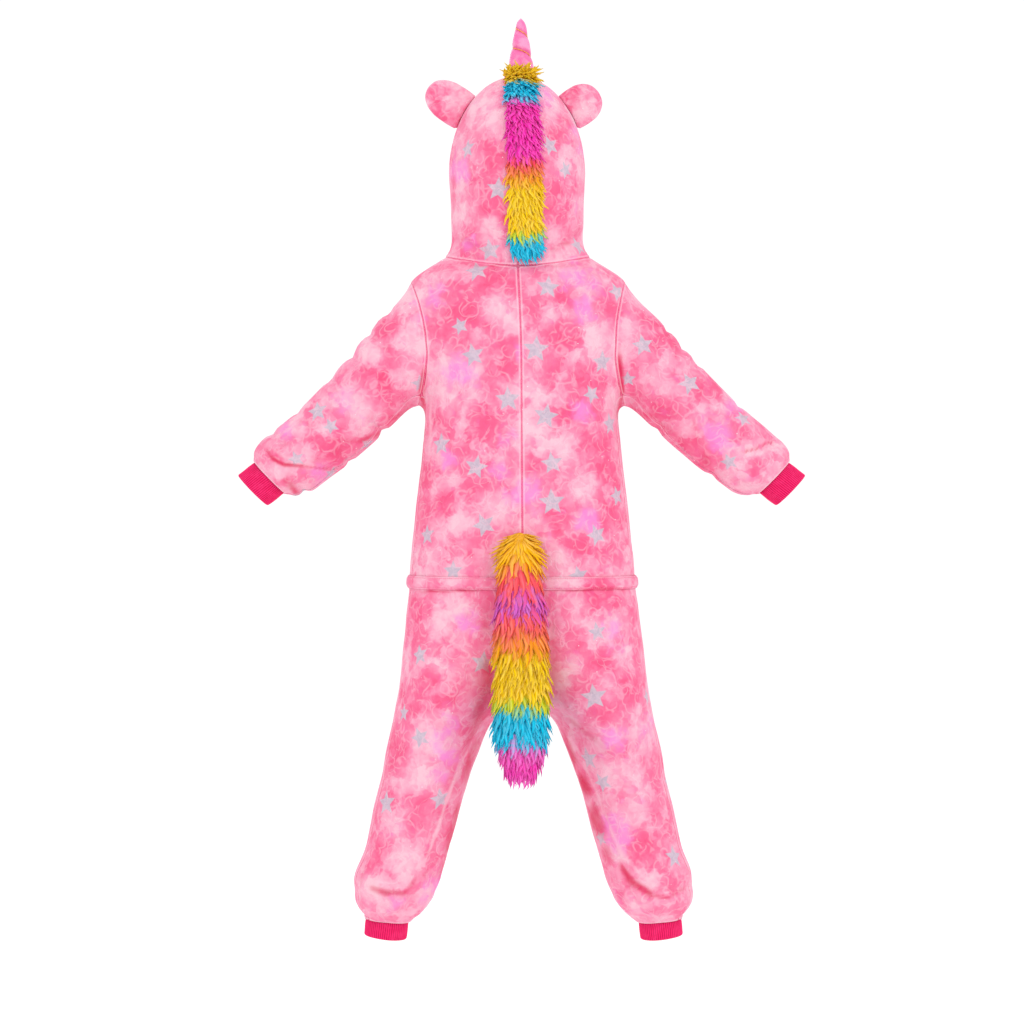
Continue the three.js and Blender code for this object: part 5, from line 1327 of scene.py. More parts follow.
def rib_material():
    material, tree, shade, where = new_material(
        "rib_knit", roughness=0.8, sheen_weight=0.3, sheen_roughness=0.4, sheen_tint=colour(255, 150, 190),
        specular_ior_level=0.2,
    )
    crest_shade_mask = attribute(tree, "rib", 0)
    wear = noise(tree, where, 0.008, 3.0)
    # Painted shade: the knit is darker down between the ribs and brighter on their crests.
    base = mixed(tree, step(tree, crest_shade_mask, 0.1, 0.9), colour(205, 8, 78), colour(246, 36, 112))
    base = mixed(tree, step(tree, wear, 0.4, 0.75, 0.0, 0.35), base, colour(250, 62, 130))
    tree.links.new(base, shade.inputs["Base Color"])
    stitch = maths(tree, "SINE", times(tree, attribute(tree, "rib", 1), 5200.0))
    bumped(tree, shade, [(wear, 0.3, 0.0008), (stitch, 0.25, 0.0003)])
    return material


def satin_material():
    material, tree, shade, where = new_material(
        "pink_satin", roughness=0.36, sheen_weight=0.25, sheen_roughness=0.3, sheen_tint=colour(255, 190, 225),
        specular_ior_level=0.55, anisotropic=0.4,
    )
    drift = noise(tree, where, 0.018, 3.0, 0.5, 0.5)
    base = mixed(tree, step(tree, drift, 0.36, 0.64), colour(240, 104, 172), colour(248, 150, 196))
    # Painted shade in the spiral groove of the horn.
    base = mixed(tree, times(tree, attribute(tree, "crease", 0), 0.6), base, colour(206, 38, 120))
    tree.links.new(base, shade.inputs["Base Color"])
    weave = noise(tree, where, 0.0007, 1.0)
    wrinkle = noise(tree, where, 0.004, 3.0, 0.55, 1.2)
    bumped(tree, shade, [(wrinkle, 0.35, 0.0012), (weave, 0.12, 0.0002)])
    return material


def thread_material(name, low, high):
    material, tree, shade, where = new_material(name, roughness=0.5, sheen_weight=0.2, specular_ior_level=0.4)
    twist = noise(tree, where, 0.0012, 2.0)
    tree.links.new(mixed(tree, step(tree, twist, 0.35, 0.65), low, high), shade.inputs["Base Color"])
    bumped(tree, shade, [(twist, 0.4, 0.0003)])
    return material


def fur_material(name, bands):
    """Bands of colour by where each lock is rooted, with painted shade at the root that fades towards the tip."""
    material, tree, shade, where = new_material(
        name, roughness=0.7, sheen_weight=0.35, sheen_roughness=0.4, specular_ior_level=0.08,
    )
    band = attribute(tree, "band", 0)
    uneven = noise(tree, where, 0.008, 2.0, 0.6, 0.6)
    base = colour_ramp(tree, on_line(tree, centred(tree, uneven), 0.04, band), bands)
    tip = attribute(tree, "strand", 1)
    around = attribute(tree, "strand", 0)
    along_lock = add(tree, "ShaderNodeCombineXYZ", {
        0: times(tree, around, 9.0), 1: times(tree, tip, 0.7), 2: times(tree, band, 900.0),
    }).outputs[0]
    fibre = noise(tree, along_lock, 1.0, 2.0)
    # Painted shade: a darker copy of each colour at the roots and in some fibre streaks; a copy mixed with white paints
    # highlights on others.
    shaded_fur = mixed(tree, 1.0, base, colour(222, 190, 205), "MULTIPLY")
    base = mixed(tree, step(tree, tip, 0.0, 0.4, 0.28, 0.0), base, shaded_fur)
    base = mixed(tree, times(tree, step(tree, fibre, 0.45, 0.7), 0.16), base, shaded_fur)
    light = mixed(tree, 0.3, base, WHITE)
    base = mixed(tree, times(tree, step(tree, fibre, 0.6, 0.35), 0.3), base, light)
    tree.links.new(base, shade.inputs["Base Color"])
    tree.links.new(base, shade.inputs["Sheen Tint"])
    # Light falls on the locks much as on the surface that they cover.
    under = add(
        tree, "ShaderNodeVectorTransform", {0: attribute(tree, "out")},
        vector_type="VECTOR", convert_from="OBJECT", convert_to="WORLD",
    ).outputs[0]
    own = add(tree, "ShaderNodeNewGeometry").outputs["Normal"]
    soft = vector_maths(tree, "NORMALIZE", vector_maths(tree, "ADD", scaled(tree, under, 0.5), own))
    bumped(tree, shade, [(fibre, 0.4, 0.0006)], soft)
    return material


def button_material():
    material, tree, shade, where = new_material(
        "button_resin", roughness=0.26, specular_ior_level=0.55, coat_weight=0.3,
    )
    swirl = step(tree, noise(tree, where, 0.004, 3.0, 0.5, 1.5), 0.35, 0.7)
    base = mixed(tree, swirl, colour(232, 38, 128), colour(247, 84, 156))
    tree.links.new(base, shade.inputs["Base Color"])
    scuff = noise(tree, where, 0.0009, 2.0)
    tree.links.new(step(tree, scuff, 0.3, 0.7, 0.22, 0.34), shade.inputs["Roughness"])
    bumped(tree, shade, [(scuff, 0.08, 0.0002)])
    return material


FLANNEL = flannel_material("star_flannel")
EAR_FLANNEL = flannel_material("ear_flannel", stars=False)
RIB_KNIT = rib_material()
SATIN = satin_material()
GOLD_THREAD = thread_material("gold_thread", colour(226, 120, 44), colour(252, 176, 84))
PINK_THREAD = thread_material("pink_thread", colour(240, 92, 142), colour(248, 128, 168))
RESIN = button_material()
MANE_FUR = fur_material("mane_fur", MANE_BANDS)
TAIL_FUR = fur_material("tail_fur", TAIL_BANDS)


# ---------------------------------------------------------------- Geometry Nodes trees
def new_tree(name, inputs):
    """A tree that takes a mesh and named inputs, given as (name, socket type, value)."""
    tree = bpy.data.node_groups.new(name, "GeometryNodeTree")
    tree.interface.new_socket("Geometry", in_out="INPUT", socket_type="NodeSocketGeometry")
    for label, kind, value in inputs:
        socket = tree.interface.new_socket(label, in_out="INPUT", socket_type="NodeSocket" + kind)
        if value is not None:
            socket.default_value = value
    tree.interface.new_socket("Geometry", in_out="OUTPUT", socket_type="NodeSocketGeometry")
    return tree, tree.nodes.new("NodeGroupInput").outputs, tree.nodes.new("NodeGroupOutput")


def close_tree(tree, end, geometry, material):
    whole = add(tree, "GeometryNodeRealizeInstances", {"Geometry": geometry})
    dressed = add(tree, "GeometryNodeSetMaterial", {"Geometry": whole.outputs[0], "Material": material})
    tree.links.new(dressed.outputs[0], end.inputs[0])


def grown(name, source, tree, values, material):
    """Runs a tree on a source object and keeps the result as a plain mesh of its own."""
    modifier = source.modifiers.new("grow", "NODES")
    modifier.node_group = tree
    for item in tree.interface.items_tree:
        if item.in_out == "INPUT" and item.name in values:
            modifier[item.identifier] = values[item.name]
    seen = source.evaluated_get(bpy.context.evaluated_depsgraph_get())
    mesh = bpy.data.meshes.new_from_object(seen)
    mesh.name = name
    source.modifiers.remove(modifier)
    mesh.materials.clear()
    mesh.materials.append(material)
    return linked(name, mesh)


def named(tree, label):
    return add(
        tree, "GeometryNodeInputNamedAttribute", {"Name": label}, data_type="FLOAT_VECTOR",
    ).outputs[0]


def stored(tree, geometry, label, value):
    return add(
        tree, "GeometryNodeStoreNamedAttribute", {"Geometry": geometry, "Name": label, "Value": value},
        data_type="FLOAT_VECTOR", domain="POINT",
    ).outputs[0]


def turned_to(tree, first, way, second):
    """A rotation that lays one axis along the way and turns another out of the surface."""
    kind = "FunctionNodeAlignRotationToVector"
    laid = add(tree, kind, {"Vector": way}, axis=first).outputs[0]
    inputs = {"Rotation": laid, "Vector": named(tree, "out")}
    return add(tree, kind, inputs, axis=second, pivot_axis=first).outputs[0]


def shape_of(tree, source):
    return add(tree, "GeometryNodeObjectInfo", {"Object": source}).outputs["Geometry"]


def rib_tree():
    tree, given, end = new_tree("ribs", [
        ("Ribs", "Int", 62), ("Rib height", "Float", 0.0005), ("Material", "Material", None),
    ])
    strength, far, turn = xyz_of(tree, named(tree, "rib"))
    wave = maths(tree, "COSINE", times(tree, turn, given["Ribs"]))
    rise_by = times(tree, times(tree, wave, given["Rib height"]), strength)
    moved = add(tree, "GeometryNodeSetPosition", {
        "Geometry": given["Geometry"], "Offset": scaled(tree, named(tree, "out"), rise_by),
    }).outputs[0]
    # The crests' share, kept for the painted shade between the ribs.
    crest_shade_mask = on_line(tree, wave, 0.5, 0.5)
    shown = add(tree, "ShaderNodeCombineXYZ", {0: crest_shade_mask, 1: far, 2: turn}).outputs[0]
    close_tree(tree, end, stored(tree, moved, "rib", shown), given["Material"])
    return tree


def stitch_tree():
    tree, given, end = new_tree("stitches", [
        ("Pitch", "Float", 0.0032), ("Stitch", "Object", None), ("Material", "Material", None),
    ])
    line = add(tree, "GeometryNodeMeshToCurve", {0: given["Geometry"]}).outputs[0]
    spaced = add(tree, "GeometryNodeResampleCurve", {"Curve": line, "Length": given["Pitch"]}, mode="LENGTH")
    tangent = add(tree, "GeometryNodeInputTangent").outputs[0]
    laid = add(tree, "GeometryNodeInstanceOnPoints", {
        "Points": spaced.outputs[0], "Instance": shape_of(tree, given["Stitch"]),
        "Rotation": turned_to(tree, "X", tangent, "Z"),
    })
    close_tree(tree, end, laid.outputs[0], given["Material"])
    return tree


def fur_tree():
    """Locks on an under-fur: each leans along the flow, spreads a little, and keeps the band of its root."""
    tree, given, end = new_tree("fur_locks", [
        ("Spacing", "Float", 0.0032), ("Density", "Float", 120000.0), ("Lift", "Float", 0.3),
        ("Spread", "Float", 0.25), ("Seed", "Int", 0), ("Lock 1", "Object", None),
        ("Lock 2", "Object", None), ("Lock 3", "Object", None), ("Material", "Material", None),
    ])
    size_here, lift_here, _ = xyz_of(tree, named(tree, "grow"))
    hairy = add(tree, "FunctionNodeCompare", {0: size_here, 1: 0.05}, data_type="FLOAT", operation="GREATER_THAN")
    rooted = add(tree, "GeometryNodeDistributePointsOnFaces", {
        "Mesh": given["Geometry"], "Distance Min": given["Spacing"], "Density Max": given["Density"],
        "Seed": given["Seed"], "Selection": hairy.outputs[0],
    }, distribute_method="POISSON")
    points = stored(tree, rooted.outputs["Points"], "root", named(tree, "band"))
    points = stored(tree, points, "out", rooted.outputs["Normal"])

    def chance(kind, limits, seed):
        """A random value for each lock, between limits that are given by socket."""
        return add(tree, "FunctionNodeRandomValue", {**limits, "Seed": seed}, data_type=kind).outputs

    sway = chance("FLOAT_VECTOR", {0: (-1.0, -1.0, -1.0), 1: (1.0, 1.0, 1.0)}, given["Seed"])[0]
    lift = times(tree, given["Lift"], lift_here)
    way = vector_maths(tree, "ADD", named(tree, "flow"), scaled(tree, named(tree, "out"), lift))
    way = vector_maths(tree, "ADD", way, scaled(tree, sway, given["Spread"]))
    size = chance("FLOAT", {2: 0.74, 3: 1.22}, plus(tree, given["Seed"], 5))[1]
    kind = chance("INT", {4: 0, 5: 2}, plus(tree, given["Seed"], 9))[2]
    shapes = add(tree, "GeometryNodeGeometryToInstance")
    for label in ("Lock 3", "Lock 2", "Lock 1"):
        tree.links.new(shape_of(tree, given[label]), shapes.inputs[0])
    laid = add(tree, "GeometryNodeInstanceOnPoints", {
        "Points": points, "Instance": shapes.outputs[0], "Pick Instance": True,
        "Instance Index": kind, "Rotation": turned_to(tree, "Z", way, "X"),
        "Scale": times(tree, size, size_here),
    })
    close_tree(tree, end, laid.outputs[0], given["Material"])
    return tree


RIBS, STITCHES, FUR = rib_tree(), stitch_tree(), fur_tree()


def stitch_shape(name, length, width):
    """A thread's short hump, six-sided and closed at its ends."""
    turn = TURN * np.arange(6) / 6
    rings = np.stack([
        np.stack([
            0 * turn + x * length, r * width / 2 * np.cos(turn), r * width / 2 * (0.7 * np.sin(turn) + 0.3),
        ], axis=1)
        for x, r in ((-0.5, 0.35), (-0.3, 0.95), (0.3, 0.95), (0.5, 0.35))
    ])
    points, faces = loft(rings, [-length / 2, 0, 0.15 * width], [length / 2, 0, 0.15 * width])
    return bpy.data.objects.new(name, new_mesh(name, points, faces, PINK_THREAD))


def lock_shape(name, length, width, curl, seed, material):
    """One tuft of fur: three-sided, widest near its middle, wavy, drawn to a point."""
    lean = np.random.RandomState(seed).uniform(-1, 1, 2)
    points, strand = [], []

    def centre(t):
        droop = curl * length * 0.8 * t * t * lean[1]
        return -droop, curl * length * math.sin(2.4 * math.pi * t + 3 * lean[0]) * t

    for t, wide in ((0, 0.75), (0.2, 1.0), (0.42, 0.9), (0.64, 0.62), (0.84, 0.32)):
        x, y = centre(t)
        for i in range(3):
            a = TURN * i / 3 + math.pi
            points.append((0.42 * wide * width * math.cos(a) + x, 0.62 * wide * width * math.sin(a) + y, t * length))
            strand.append((i / 3, t, 0))
    points.append((*centre(1), length))
    strand.append((0.5, 1, 0))
    faces = ring_quads(5, 3) + [(12 + i, 12 + (i + 1) % 3, 15) for i in range(3)] + [(2, 1, 0)]
    return bpy.data.objects.new(name, new_mesh(name, points, faces, material, {"strand": strand}))


# ---------------------------------------------------------------- the panels
for word, side in (("left", 1), ("right", -1)):
    cut_panel(f"back_{word}", side, body, *torso_grid(1), 6, flush=("top",))
    cut_panel(f"front_{word}", side, body, *torso_grid(-1), 5, flush=("top",))
    cut_panel(f"sleeve_{word}", side, body, *sleeve_grid(), 5, rolled=("top",))
    cut_panel(f"leg_back_{word}", side, body, *leg_grid(1), 6, rolled=("top",))
    cut_panel(f"leg_front_{word}", side, body, *leg_grid(-1), 5, rolled=("top",))
    cut_panel(f"hood_{word}", side, hood, *hood_grid(), 5, open_edges=("top", "right"), flush=("bottom",))
print_stars()
UNSEWN = 40.0

for panel in panels:
    rows, columns = panel["u"].shape
    layers = star_layers(panel)
    unprinted = np.tile(NO_STAR, (rows * columns, 1))
    dye = dye_and_shade_at(panel["outer"].reshape(-1, 3) * [panel["side"], 1, 1], panel["out"])
    # A pale painted highlight along the crest of each rolled edge.
    dye[:, 2] -= 0.75 * panel["roll"].ravel()
    sewn = np.minimum(panel["sewn"], UNSEWN).ravel()
    edges = np.stack([sewn, panel["hem"].ravel(), 0 * sewn], 1)
    uv = np.stack([panel["u"].ravel(), panel["v"].ravel()], axis=1) * MM
    piece = make_piece(
        "cloth_" + panel["name"],
        place(np.concatenate([panel[face].reshape(-1, 3) for face in ("outer", "inner")]), panel["side"]),
        wall_faces(rows, columns), FLANNEL, {
            "star_a": np.concatenate([layers[0], unprinted]), "star_b": np.concatenate([layers[1], unprinted]),
            "dye": np.concatenate([dye, dye]), "sewn": np.concatenate([edges, edges + [0, 0, 1]]),
        }, np.concatenate([uv, uv]),
    )
    dress(piece, panel["name"])
    flat = (float(panel["u"][:, -1].max()) * MM, float(panel["v"][-1].max()) * MM)


# ---------------------------------------------------------------- strips that lie on the cloth
def strip(name, skin, grid, high, low, material, vectors):
    """A wall between two heights over a skin, and the grid of its outer face."""
    outer, inner = raised(skin, grid, high), raised(skin, grid, low)
    points = place(np.concatenate([outer.reshape(-1, 3), inner.reshape(-1, 3)]))
    uv = np.stack([run.ravel() for run in runs(grid)], axis=1) * MM
    both = {key: np.concatenate([value, value]) for key, value in vectors.items()}
    faces = wall_faces(*grid.shape[:2])
    return make_piece(name, points, faces, material, both, np.concatenate([uv, uv])), outer


def plain_print(points, sewn):
    """The dye of the cloth around, with its painted line shade and highlight, and no stars; sewn is each point's
    distance from a seam.
    """
    none = np.tile(NO_STAR, (len(points), 1))
    edges = np.stack([sewn.ravel(), 0 * sewn.ravel() + NO_HEM, 0 * sewn.ravel()], axis=1)
    return {"star_a": none, "star_b": none, "dye": dye_and_shade_at(points, outward(body, points)), "sewn": edges}


BAND_PROFILE = np.array([
    -1, -0.97, -0.9, -0.8, -0.72, -0.62, -0.4, -0.13, 0.13, 0.4, 0.62, 0.72, 0.8, 0.9, 0.97, 1,
])
BAND_STITCH_ROWS = (4, 11)
BAND_STEPS = 190


def waistband_grid(face):
    ends = [
        at(body, [157 * s, SIDE_Y, WAIST_Z], (side_seam, face * SEAM), (height, WAIST_Z)) for s in (1, -1)
    ]
    start, stop = (math.atan2(p[1], p[0]) for p in ends)
    turn = np.linspace(start, stop if face > 0 else stop - TURN, BAND_STEPS)
    way = np.stack([np.cos(turn), np.sin(turn), 0 * turn], axis=1)
    return np.stack([
        leave(body, np.tile([0, 0, WAIST_Z - u * BAND_HALF], (BAND_STEPS, 1)), way) for u in BAND_PROFILE
    ])


def line_mesh(name, points, out):
    """An open line of points in metres, with the way out of the cloth at each."""
    mesh = bpy.data.meshes.new(name)
    mesh.from_pydata(points.tolist(), [(i, i + 1) for i in range(len(points) - 1)], [])
    store(mesh, "out", out)
    return linked(name, mesh)


def stitched(name, lines, pitch, stitch):
    """Rows of stitches along lines on the cloth, joined into one piece. Each line is (points, outward) in metres."""
    rows = []
    for points, out in lines:
        source = line_mesh("stitch_line", points, out)
        values = {"Pitch": pitch, "Stitch": stitch, "Material": PINK_THREAD}
        rows.append(grown("row", source, STITCHES, values, PINK_THREAD))
        bpy.data.objects.remove(source)
    with bpy.context.temp_override(active_object=rows[0], selected_editable_objects=rows, selected_objects=rows):
        if len(rows) > 1:
            bpy.ops.object.join()
    rows[0].name = rows[0].data.name = name
    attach(rows[0], "root")


STITCH = stitch_shape("one_stitch", 0.0027, 0.0009)
SEAM_STITCH = stitch_shape("seam_stitch", 0.0036, 0.0012)


def seam_lines():
    """The ditch of each seam between cloth panels: a panel, its edge, and the first and last row of it."""
    for word in ("left", "right"):
        if word == "left":
            yield "back_left", "start", -1, 99
            yield "hood_left", "start", -1, 99
        yield f"sleeve_{word}", "foot", -1, 99
        yield f"hood_{word}", "foot", -1, 99
        yield f"back_{word}", "end", 0, 8
        yield f"back_{word}", "end", 17, 99
        yield f"leg_back_{word}", "start", 0 if word == "left" else 9, 99
        yield f"leg_back_{word}", "end", -1, 99
        yield f"sleeve_{word}", "start", -1, 99


lines = []
for name, edge, first, last in seam_lines():
    panel = next(panel for panel in panels if panel["name"] == name)
    pick = {"start": np.s_[:, 0], "end": np.s_[:, -1], "foot": np.s_[0]}[edge]
    points, normal = panel["outer"][pick], panel["normal"][pick]
    if len(points) == len(panel["rows"]):
        kept = (panel["rows"] >= first) & (panel["rows"] <= last)
        points, normal = points[kept], normal[kept]
    lines.append((place(points + normal * 0.1, panel["side"]), normal * [panel["side"], 1, 1]))
stitched("seam_stitches", lines, 0.0034, SEAM_STITCH)

for word, face in (("back", 1), ("front", -1)):
    grid = waistband_grid(face)
    u = BAND_PROFILE[:, None]
    flat = grid.reshape(-1, 3)
    level = np.zeros((1, BAND_STEPS))
    slack = (0.35 * cloud(flat, 9, 41) + 0.25 * cloud(flat, 4.5, 42)).reshape(grid.shape[:2])
    high = 1.3 + 3.3 * (1 - np.abs(u) ** 4) + slack * (1 - u**2) - 0.9 * ridge(np.abs(u) - 0.72, 0.07) + level
    low = 0.45 + 0.9 * (1 - np.abs(u)) + level
    sewn = np.where(np.abs(u) > 0.94, 0.2, UNSEWN) + level
    band, outer = strip(f"waistband_{word}_cloth", body, grid, high, low, FLANNEL, plain_print(flat, sewn))
    dress(band, f"waistband_{word}")
    lines = [(place(outer[row]), outward(body, outer[row])) for row in BAND_STITCH_ROWS]
    stitched(f"waistband_{word}_stitches", lines, 0.0031, STITCH)

PLACKET_HALF, PLACKET_TOP = 17, -31
PLACKET_STITCH_COLUMNS = (3, 9)
across = np.array([-1, -0.97, -0.9, -0.75, -0.5, -0.25, 0, 0.25, 0.5, 0.75, 0.9, 0.97, 1]) * PLACKET_HALF
heights = np.linspace(WAIST_Z + BAND_HALF + 1.5, PLACKET_TOP, 110)
x, z = (m.ravel() for m in np.meshgrid(across, heights))
grid = settle(np.stack([x, 0 * x - 90, z], axis=1), [(body, 0), (held_at(0, x), 0), (held_at(2, z), 0)])
grid = grid.reshape(len(heights), len(across), 3)
slack = 0.25 * cloud(grid.reshape(-1, 3), 14, 51).reshape(grid.shape[:2])
high = 2.9 + slack - 1.1 * np.abs(across / PLACKET_HALF) ** 16
print_on = plain_print(grid.reshape(-1, 3), np.where(np.abs(x) > 16, 0.4, UNSEWN))
placket, outer = strip("placket_cloth", body, grid, high, 0.5 + 0 * high, FLANNEL, print_on)
dress(placket, "placket")
lines = [(place(outer[2:-2, c]), outward(body, outer[2:-2, c])) for c in PLACKET_STITCH_COLUMNS]
stitched("placket_stitches", lines, 0.0034, STITCH)


# ---------------------------------------------------------------- ribbed cuffs
CUFF_COLUMNS, CUFF_RIBS, CUFF_RADIUS = 372, 62, 28.5


def on_wrist(far, radius, turn):
    s = SLEEVE_END + far
    lift = 36 + 3.5 * far / 30.5 + radius * np.cos(turn)
    return np.stack([
        s * ARM_OUT + lift * ARM_DOWN, radius * np.sin(turn), lift * ARM_OUT - s * ARM_DOWN,
    ], axis=-1)


def on_ankle(far, radius, turn):
    x = ANKLE_X + far * ANKLE_TILT + radius * np.cos(turn)
    return np.stack([x, 8 + radius * np.sin(turn), LEG_END - far + (x - ANKLE_X) * ANKLE_TILT], axis=-1)


def cuff(name, side, length, put):
    """A closed ring of knit: its profile is (distance from the seam, radius, how deep the ribs are)."""
    profile = [
        (-3.2, 27.6, 0.1), (-2.6, 28.1, 0.2), (0.6, 28.3, 0.4), (1.5, 28.9, 0.8),
        *((2.4 + (length - 4.6) * t, 29.2 + 0.35 * math.sin(math.pi * t), 1.0) for t in np.linspace(0, 1, 10)),
        (length - 1.1, 28.95, 0.9), (length - 0.35, 28.3, 0.6), (length, 27.5, 0.3),
        (length - 0.4, 26.9, 0.3), (length - 2, 26.7, 0.5), (length * 0.6, 26.6, 0.5),
        (length * 0.3, 26.6, 0.5), (-2.8, 26.4, 0.2),
    ]
    turn = TURN * np.arange(CUFF_COLUMNS) / CUFF_COLUMNS
    far, radius, strength = (np.array(c)[:, None] + 0 * turn for c in zip(*profile))
    turn = turn + 0 * far
    wobble = 0.35 * np.sin(3 * turn + 1.0) * np.clip(far / length, 0, 1) + 0.25 * np.sin(5 * turn + far * 0.2)
    points = put(far, radius + wobble, turn)
    out = (put(far, radius + wobble + 1.0, turn) - points).reshape(-1, 3) * [side, 1, 1]
    rib = np.stack([strength, far * MM, turn], axis=-1).reshape(-1, 3)
    faces = ring_quads(*points.shape[:2], closed=True)
    vectors = {"rib": rib, "out": out}
    source = make_piece("cuff_source", place(points.reshape(-1, 3), side), faces, RIB_KNIT, vectors)
    values = {"Ribs": CUFF_RIBS, "Rib height": 0.00042, "Material": RIB_KNIT}
    piece = grown(f"{name}_knit", source, RIBS, values, RIB_KNIT)
    bpy.data.objects.remove(source)
    dress(piece, name)


for word, side in (("left", 1), ("right", -1)):
    cuff(f"sleeve_cuff_{word}", side, CUFF_END - SLEEVE_END, on_wrist)
    cuff(f"ankle_cuff_{word}", side, LEG_END - ANKLE_END, on_ankle)


# ---------------------------------------------------------------- stuffed pieces
GAP = 0.5
EAR_FOOT = np.array([72, 0, 220.0])
EAR_OUT, EAR_UP = np.array([0.832, 0, 0.555]), np.array([-0.555, 0, 0.832])
EAR_COLUMNS, EAR_LENGTH = 72, 64.5
HORN_FOOT = np.array([-5.5, -35, 256.0])
HORN_UP, HORN_BACK = np.array([0, -0.1, 0.995]), np.array([0, 0.995, 0.1])
HORN_COLUMNS, HORN_TIP = 96, 107.3
SPIRAL_PITCH, SPIRAL_START, SPIRAL_DEPTH = 29, 20.5, 0.13


def clear(skin, p, gap=GAP):
    """Keeps points off the cloth under them."""
    near = skin(p) < gap
    if near.any():
        p = p.copy()
        p[near] = settle(p[near], [(skin, gap)])
    return p


def ear(word, side, length):
    turn = TURN * np.arange(EAR_COLUMNS) / EAR_COLUMNS
    steps = [2, *np.linspace(5, 60, 24), 61.5, 63, 64]

    def ring(far, shrink):
        row = EAR(far)
        rim = ridge(np.sin(turn), 0.13) * np.where(np.abs(np.cos(turn)) > 0.5, 1, 0)
        half = shrink * (1 - 0.05 * rim * ease(0, 12, far)) * row["half"] * np.cos(turn)
        p = EAR_FOOT + EAR_OUT * far * (length / EAR_LENGTH) + EAR_UP * half[:, None]
        p[:, 1] += shrink * row["thick"] * np.sin(turn)
        p[:, 1] += np.sin(turn) * (0.9 * cloud(p * [side, 1, 1], 17, 61) * ease(0, 10, far))
        return clear(hood, p)

    rings = np.stack([ring(-10, 0.35), ring(-10, 0.7), ring(-9, 0.9), *[ring(far, 1) for far in steps]])
    foot = clear(hood, (EAR_FOOT - EAR_OUT * 8)[None])[0]
    points, faces = loft(rings, foot, EAR_FOOT + EAR_OUT * length)
    piece = make_piece(f"ear_{word}_stuffed", place(points, side), faces, EAR_FLANNEL)
    dress(piece, f"ear_{word}")


ear("left", 1, 63.5)
ear("right", -1, 51)


def horn_place(far, turn, radius):
    p = HORN_FOOT + HORN_UP * far[..., None] + HORN_BACK * (radius * np.sin(turn))[..., None]
    p[..., 0] += radius * np.cos(turn)
    return p


turn = TURN * np.arange(HORN_COLUMNS) / HORN_COLUMNS
far = np.concatenate([np.linspace(3, 100, 110), np.linspace(100.8, 106, 8)])[:, None]
wave = 0.5 - 0.5 * np.cos(TURN * (far - SPIRAL_START) / SPIRAL_PITCH + turn)
crease = ease(18, 30, far) * wave**7
gathers = 0.022 * np.cos(11 * turn + 0.7 * np.sin(far / 6)) * np.clip(crease * 2.2, 0, 1)
bulge = 0.035 * (1 - wave**1.5) * ease(22, 34, far)
radius = HORN(far[:, 0])["radius"][:, None] * (1 - SPIRAL_DEPTH * 1.15 * crease + gathers + bulge)
rings = horn_place(far + 0 * turn, turn + 0 * far, radius)
rings = clear(hood, rings.reshape(-1, 3)).reshape(rings.shape)
low = [clear(hood, horn_place(0 * turn, turn, s * HORN(0)["radius"] + 0 * turn)) for s in (0.34, 0.67)]
rings = np.concatenate([low, rings])
points, faces = loft(rings, clear(hood, HORN_FOOT[None])[0], HORN_FOOT + HORN_UP * HORN_TIP)
# How deep the spiral groove's painted shade lies at each point.
horn_groove_shade = np.zeros((len(points), 3))
horn_groove_shade[2 * HORN_COLUMNS : -2, 0] = crease.ravel()
horn = make_piece("horn_stuffed", place(points), faces, SATIN, {"crease": horn_groove_shade})
dress(horn, "horn")


def tube(line, thickness, sides):
    """Points and faces of a closed round tube along a line, thinner at its two ends."""
    way = unit(np.gradient(line, axis=0))
    across = unit(np.cross(way, [0.3, 0.2, 0.93]))
    other = np.cross(way, across)
    turn = TURN * np.arange(sides) / sides
    t = np.linspace(0, 1, len(line))
    size = thickness / 2 * np.minimum(1, np.minimum(t, 1 - t) * 40 + 0.3)
    ring = across[:, None] * np.cos(turn)[None, :, None] + other[:, None] * np.sin(turn)[None, :, None]
    return loft(line[:, None] + size[:, None, None] * ring, line[0], line[-1])


far = np.linspace(27, 101, 420)
turn = math.pi - TURN * (far - SPIRAL_START) / SPIRAL_PITCH
radius = HORN(far)["radius"] * (1 - SPIRAL_DEPTH * 1.1) + 0.25
points, faces = tube(horn_place(far, turn, radius), 1.5, 8)
gold = make_piece("horn_gold_thread", place(points), faces, GOLD_THREAD)
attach(gold, "root")


# ---------------------------------------------------------------- fur
def fur(name, ground, values, lock_sizes, curls, seed, material):
    """Locks on a ground: the locks take the node's place and the ground rides with them."""
    shapes = {
        f"Lock {i + 1}": lock_shape(f"{name}_lock_{i}", *lock_sizes, curl, seed + i, material)
        for i, curl in enumerate(curls)
    }
    piece = grown(f"{name}_locks", ground, FUR, {**values, **shapes, "Material": material}, material)
    dress(piece, name)
    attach(ground, "root")


MANE_HALF, MANE_STARTS, MANE_ENDS, MANE_DRIFT = 26, 92, -51, (-2, -9)
MANE_ROWS = 120
u = np.linspace(-1, 1, 27)
t = np.linspace(0, 1, MANE_ROWS)
bearing = np.radians(MANE_STARTS + (MANE_ENDS - MANE_STARTS) * t)
way = np.stack([0 * t, np.cos(bearing), np.sin(bearing)], axis=1)
middle = leave(hood, np.tile([SEAM, 0, HOOD_MIDDLE], (MANE_ROWS, 1)), way)
slope = outward(hood, middle)


def beside_middle(p):
    """Nought where each point stands level with its own point of the mane's middle line."""
    y, z, rise_y, rise_z = (np.resize(m, len(p)) for m in (middle[:, 1], middle[:, 2], slope[:, 1], slope[:, 2]))
    return (p[:, 1] - y) * rise_z - (p[:, 2] - z) * rise_y


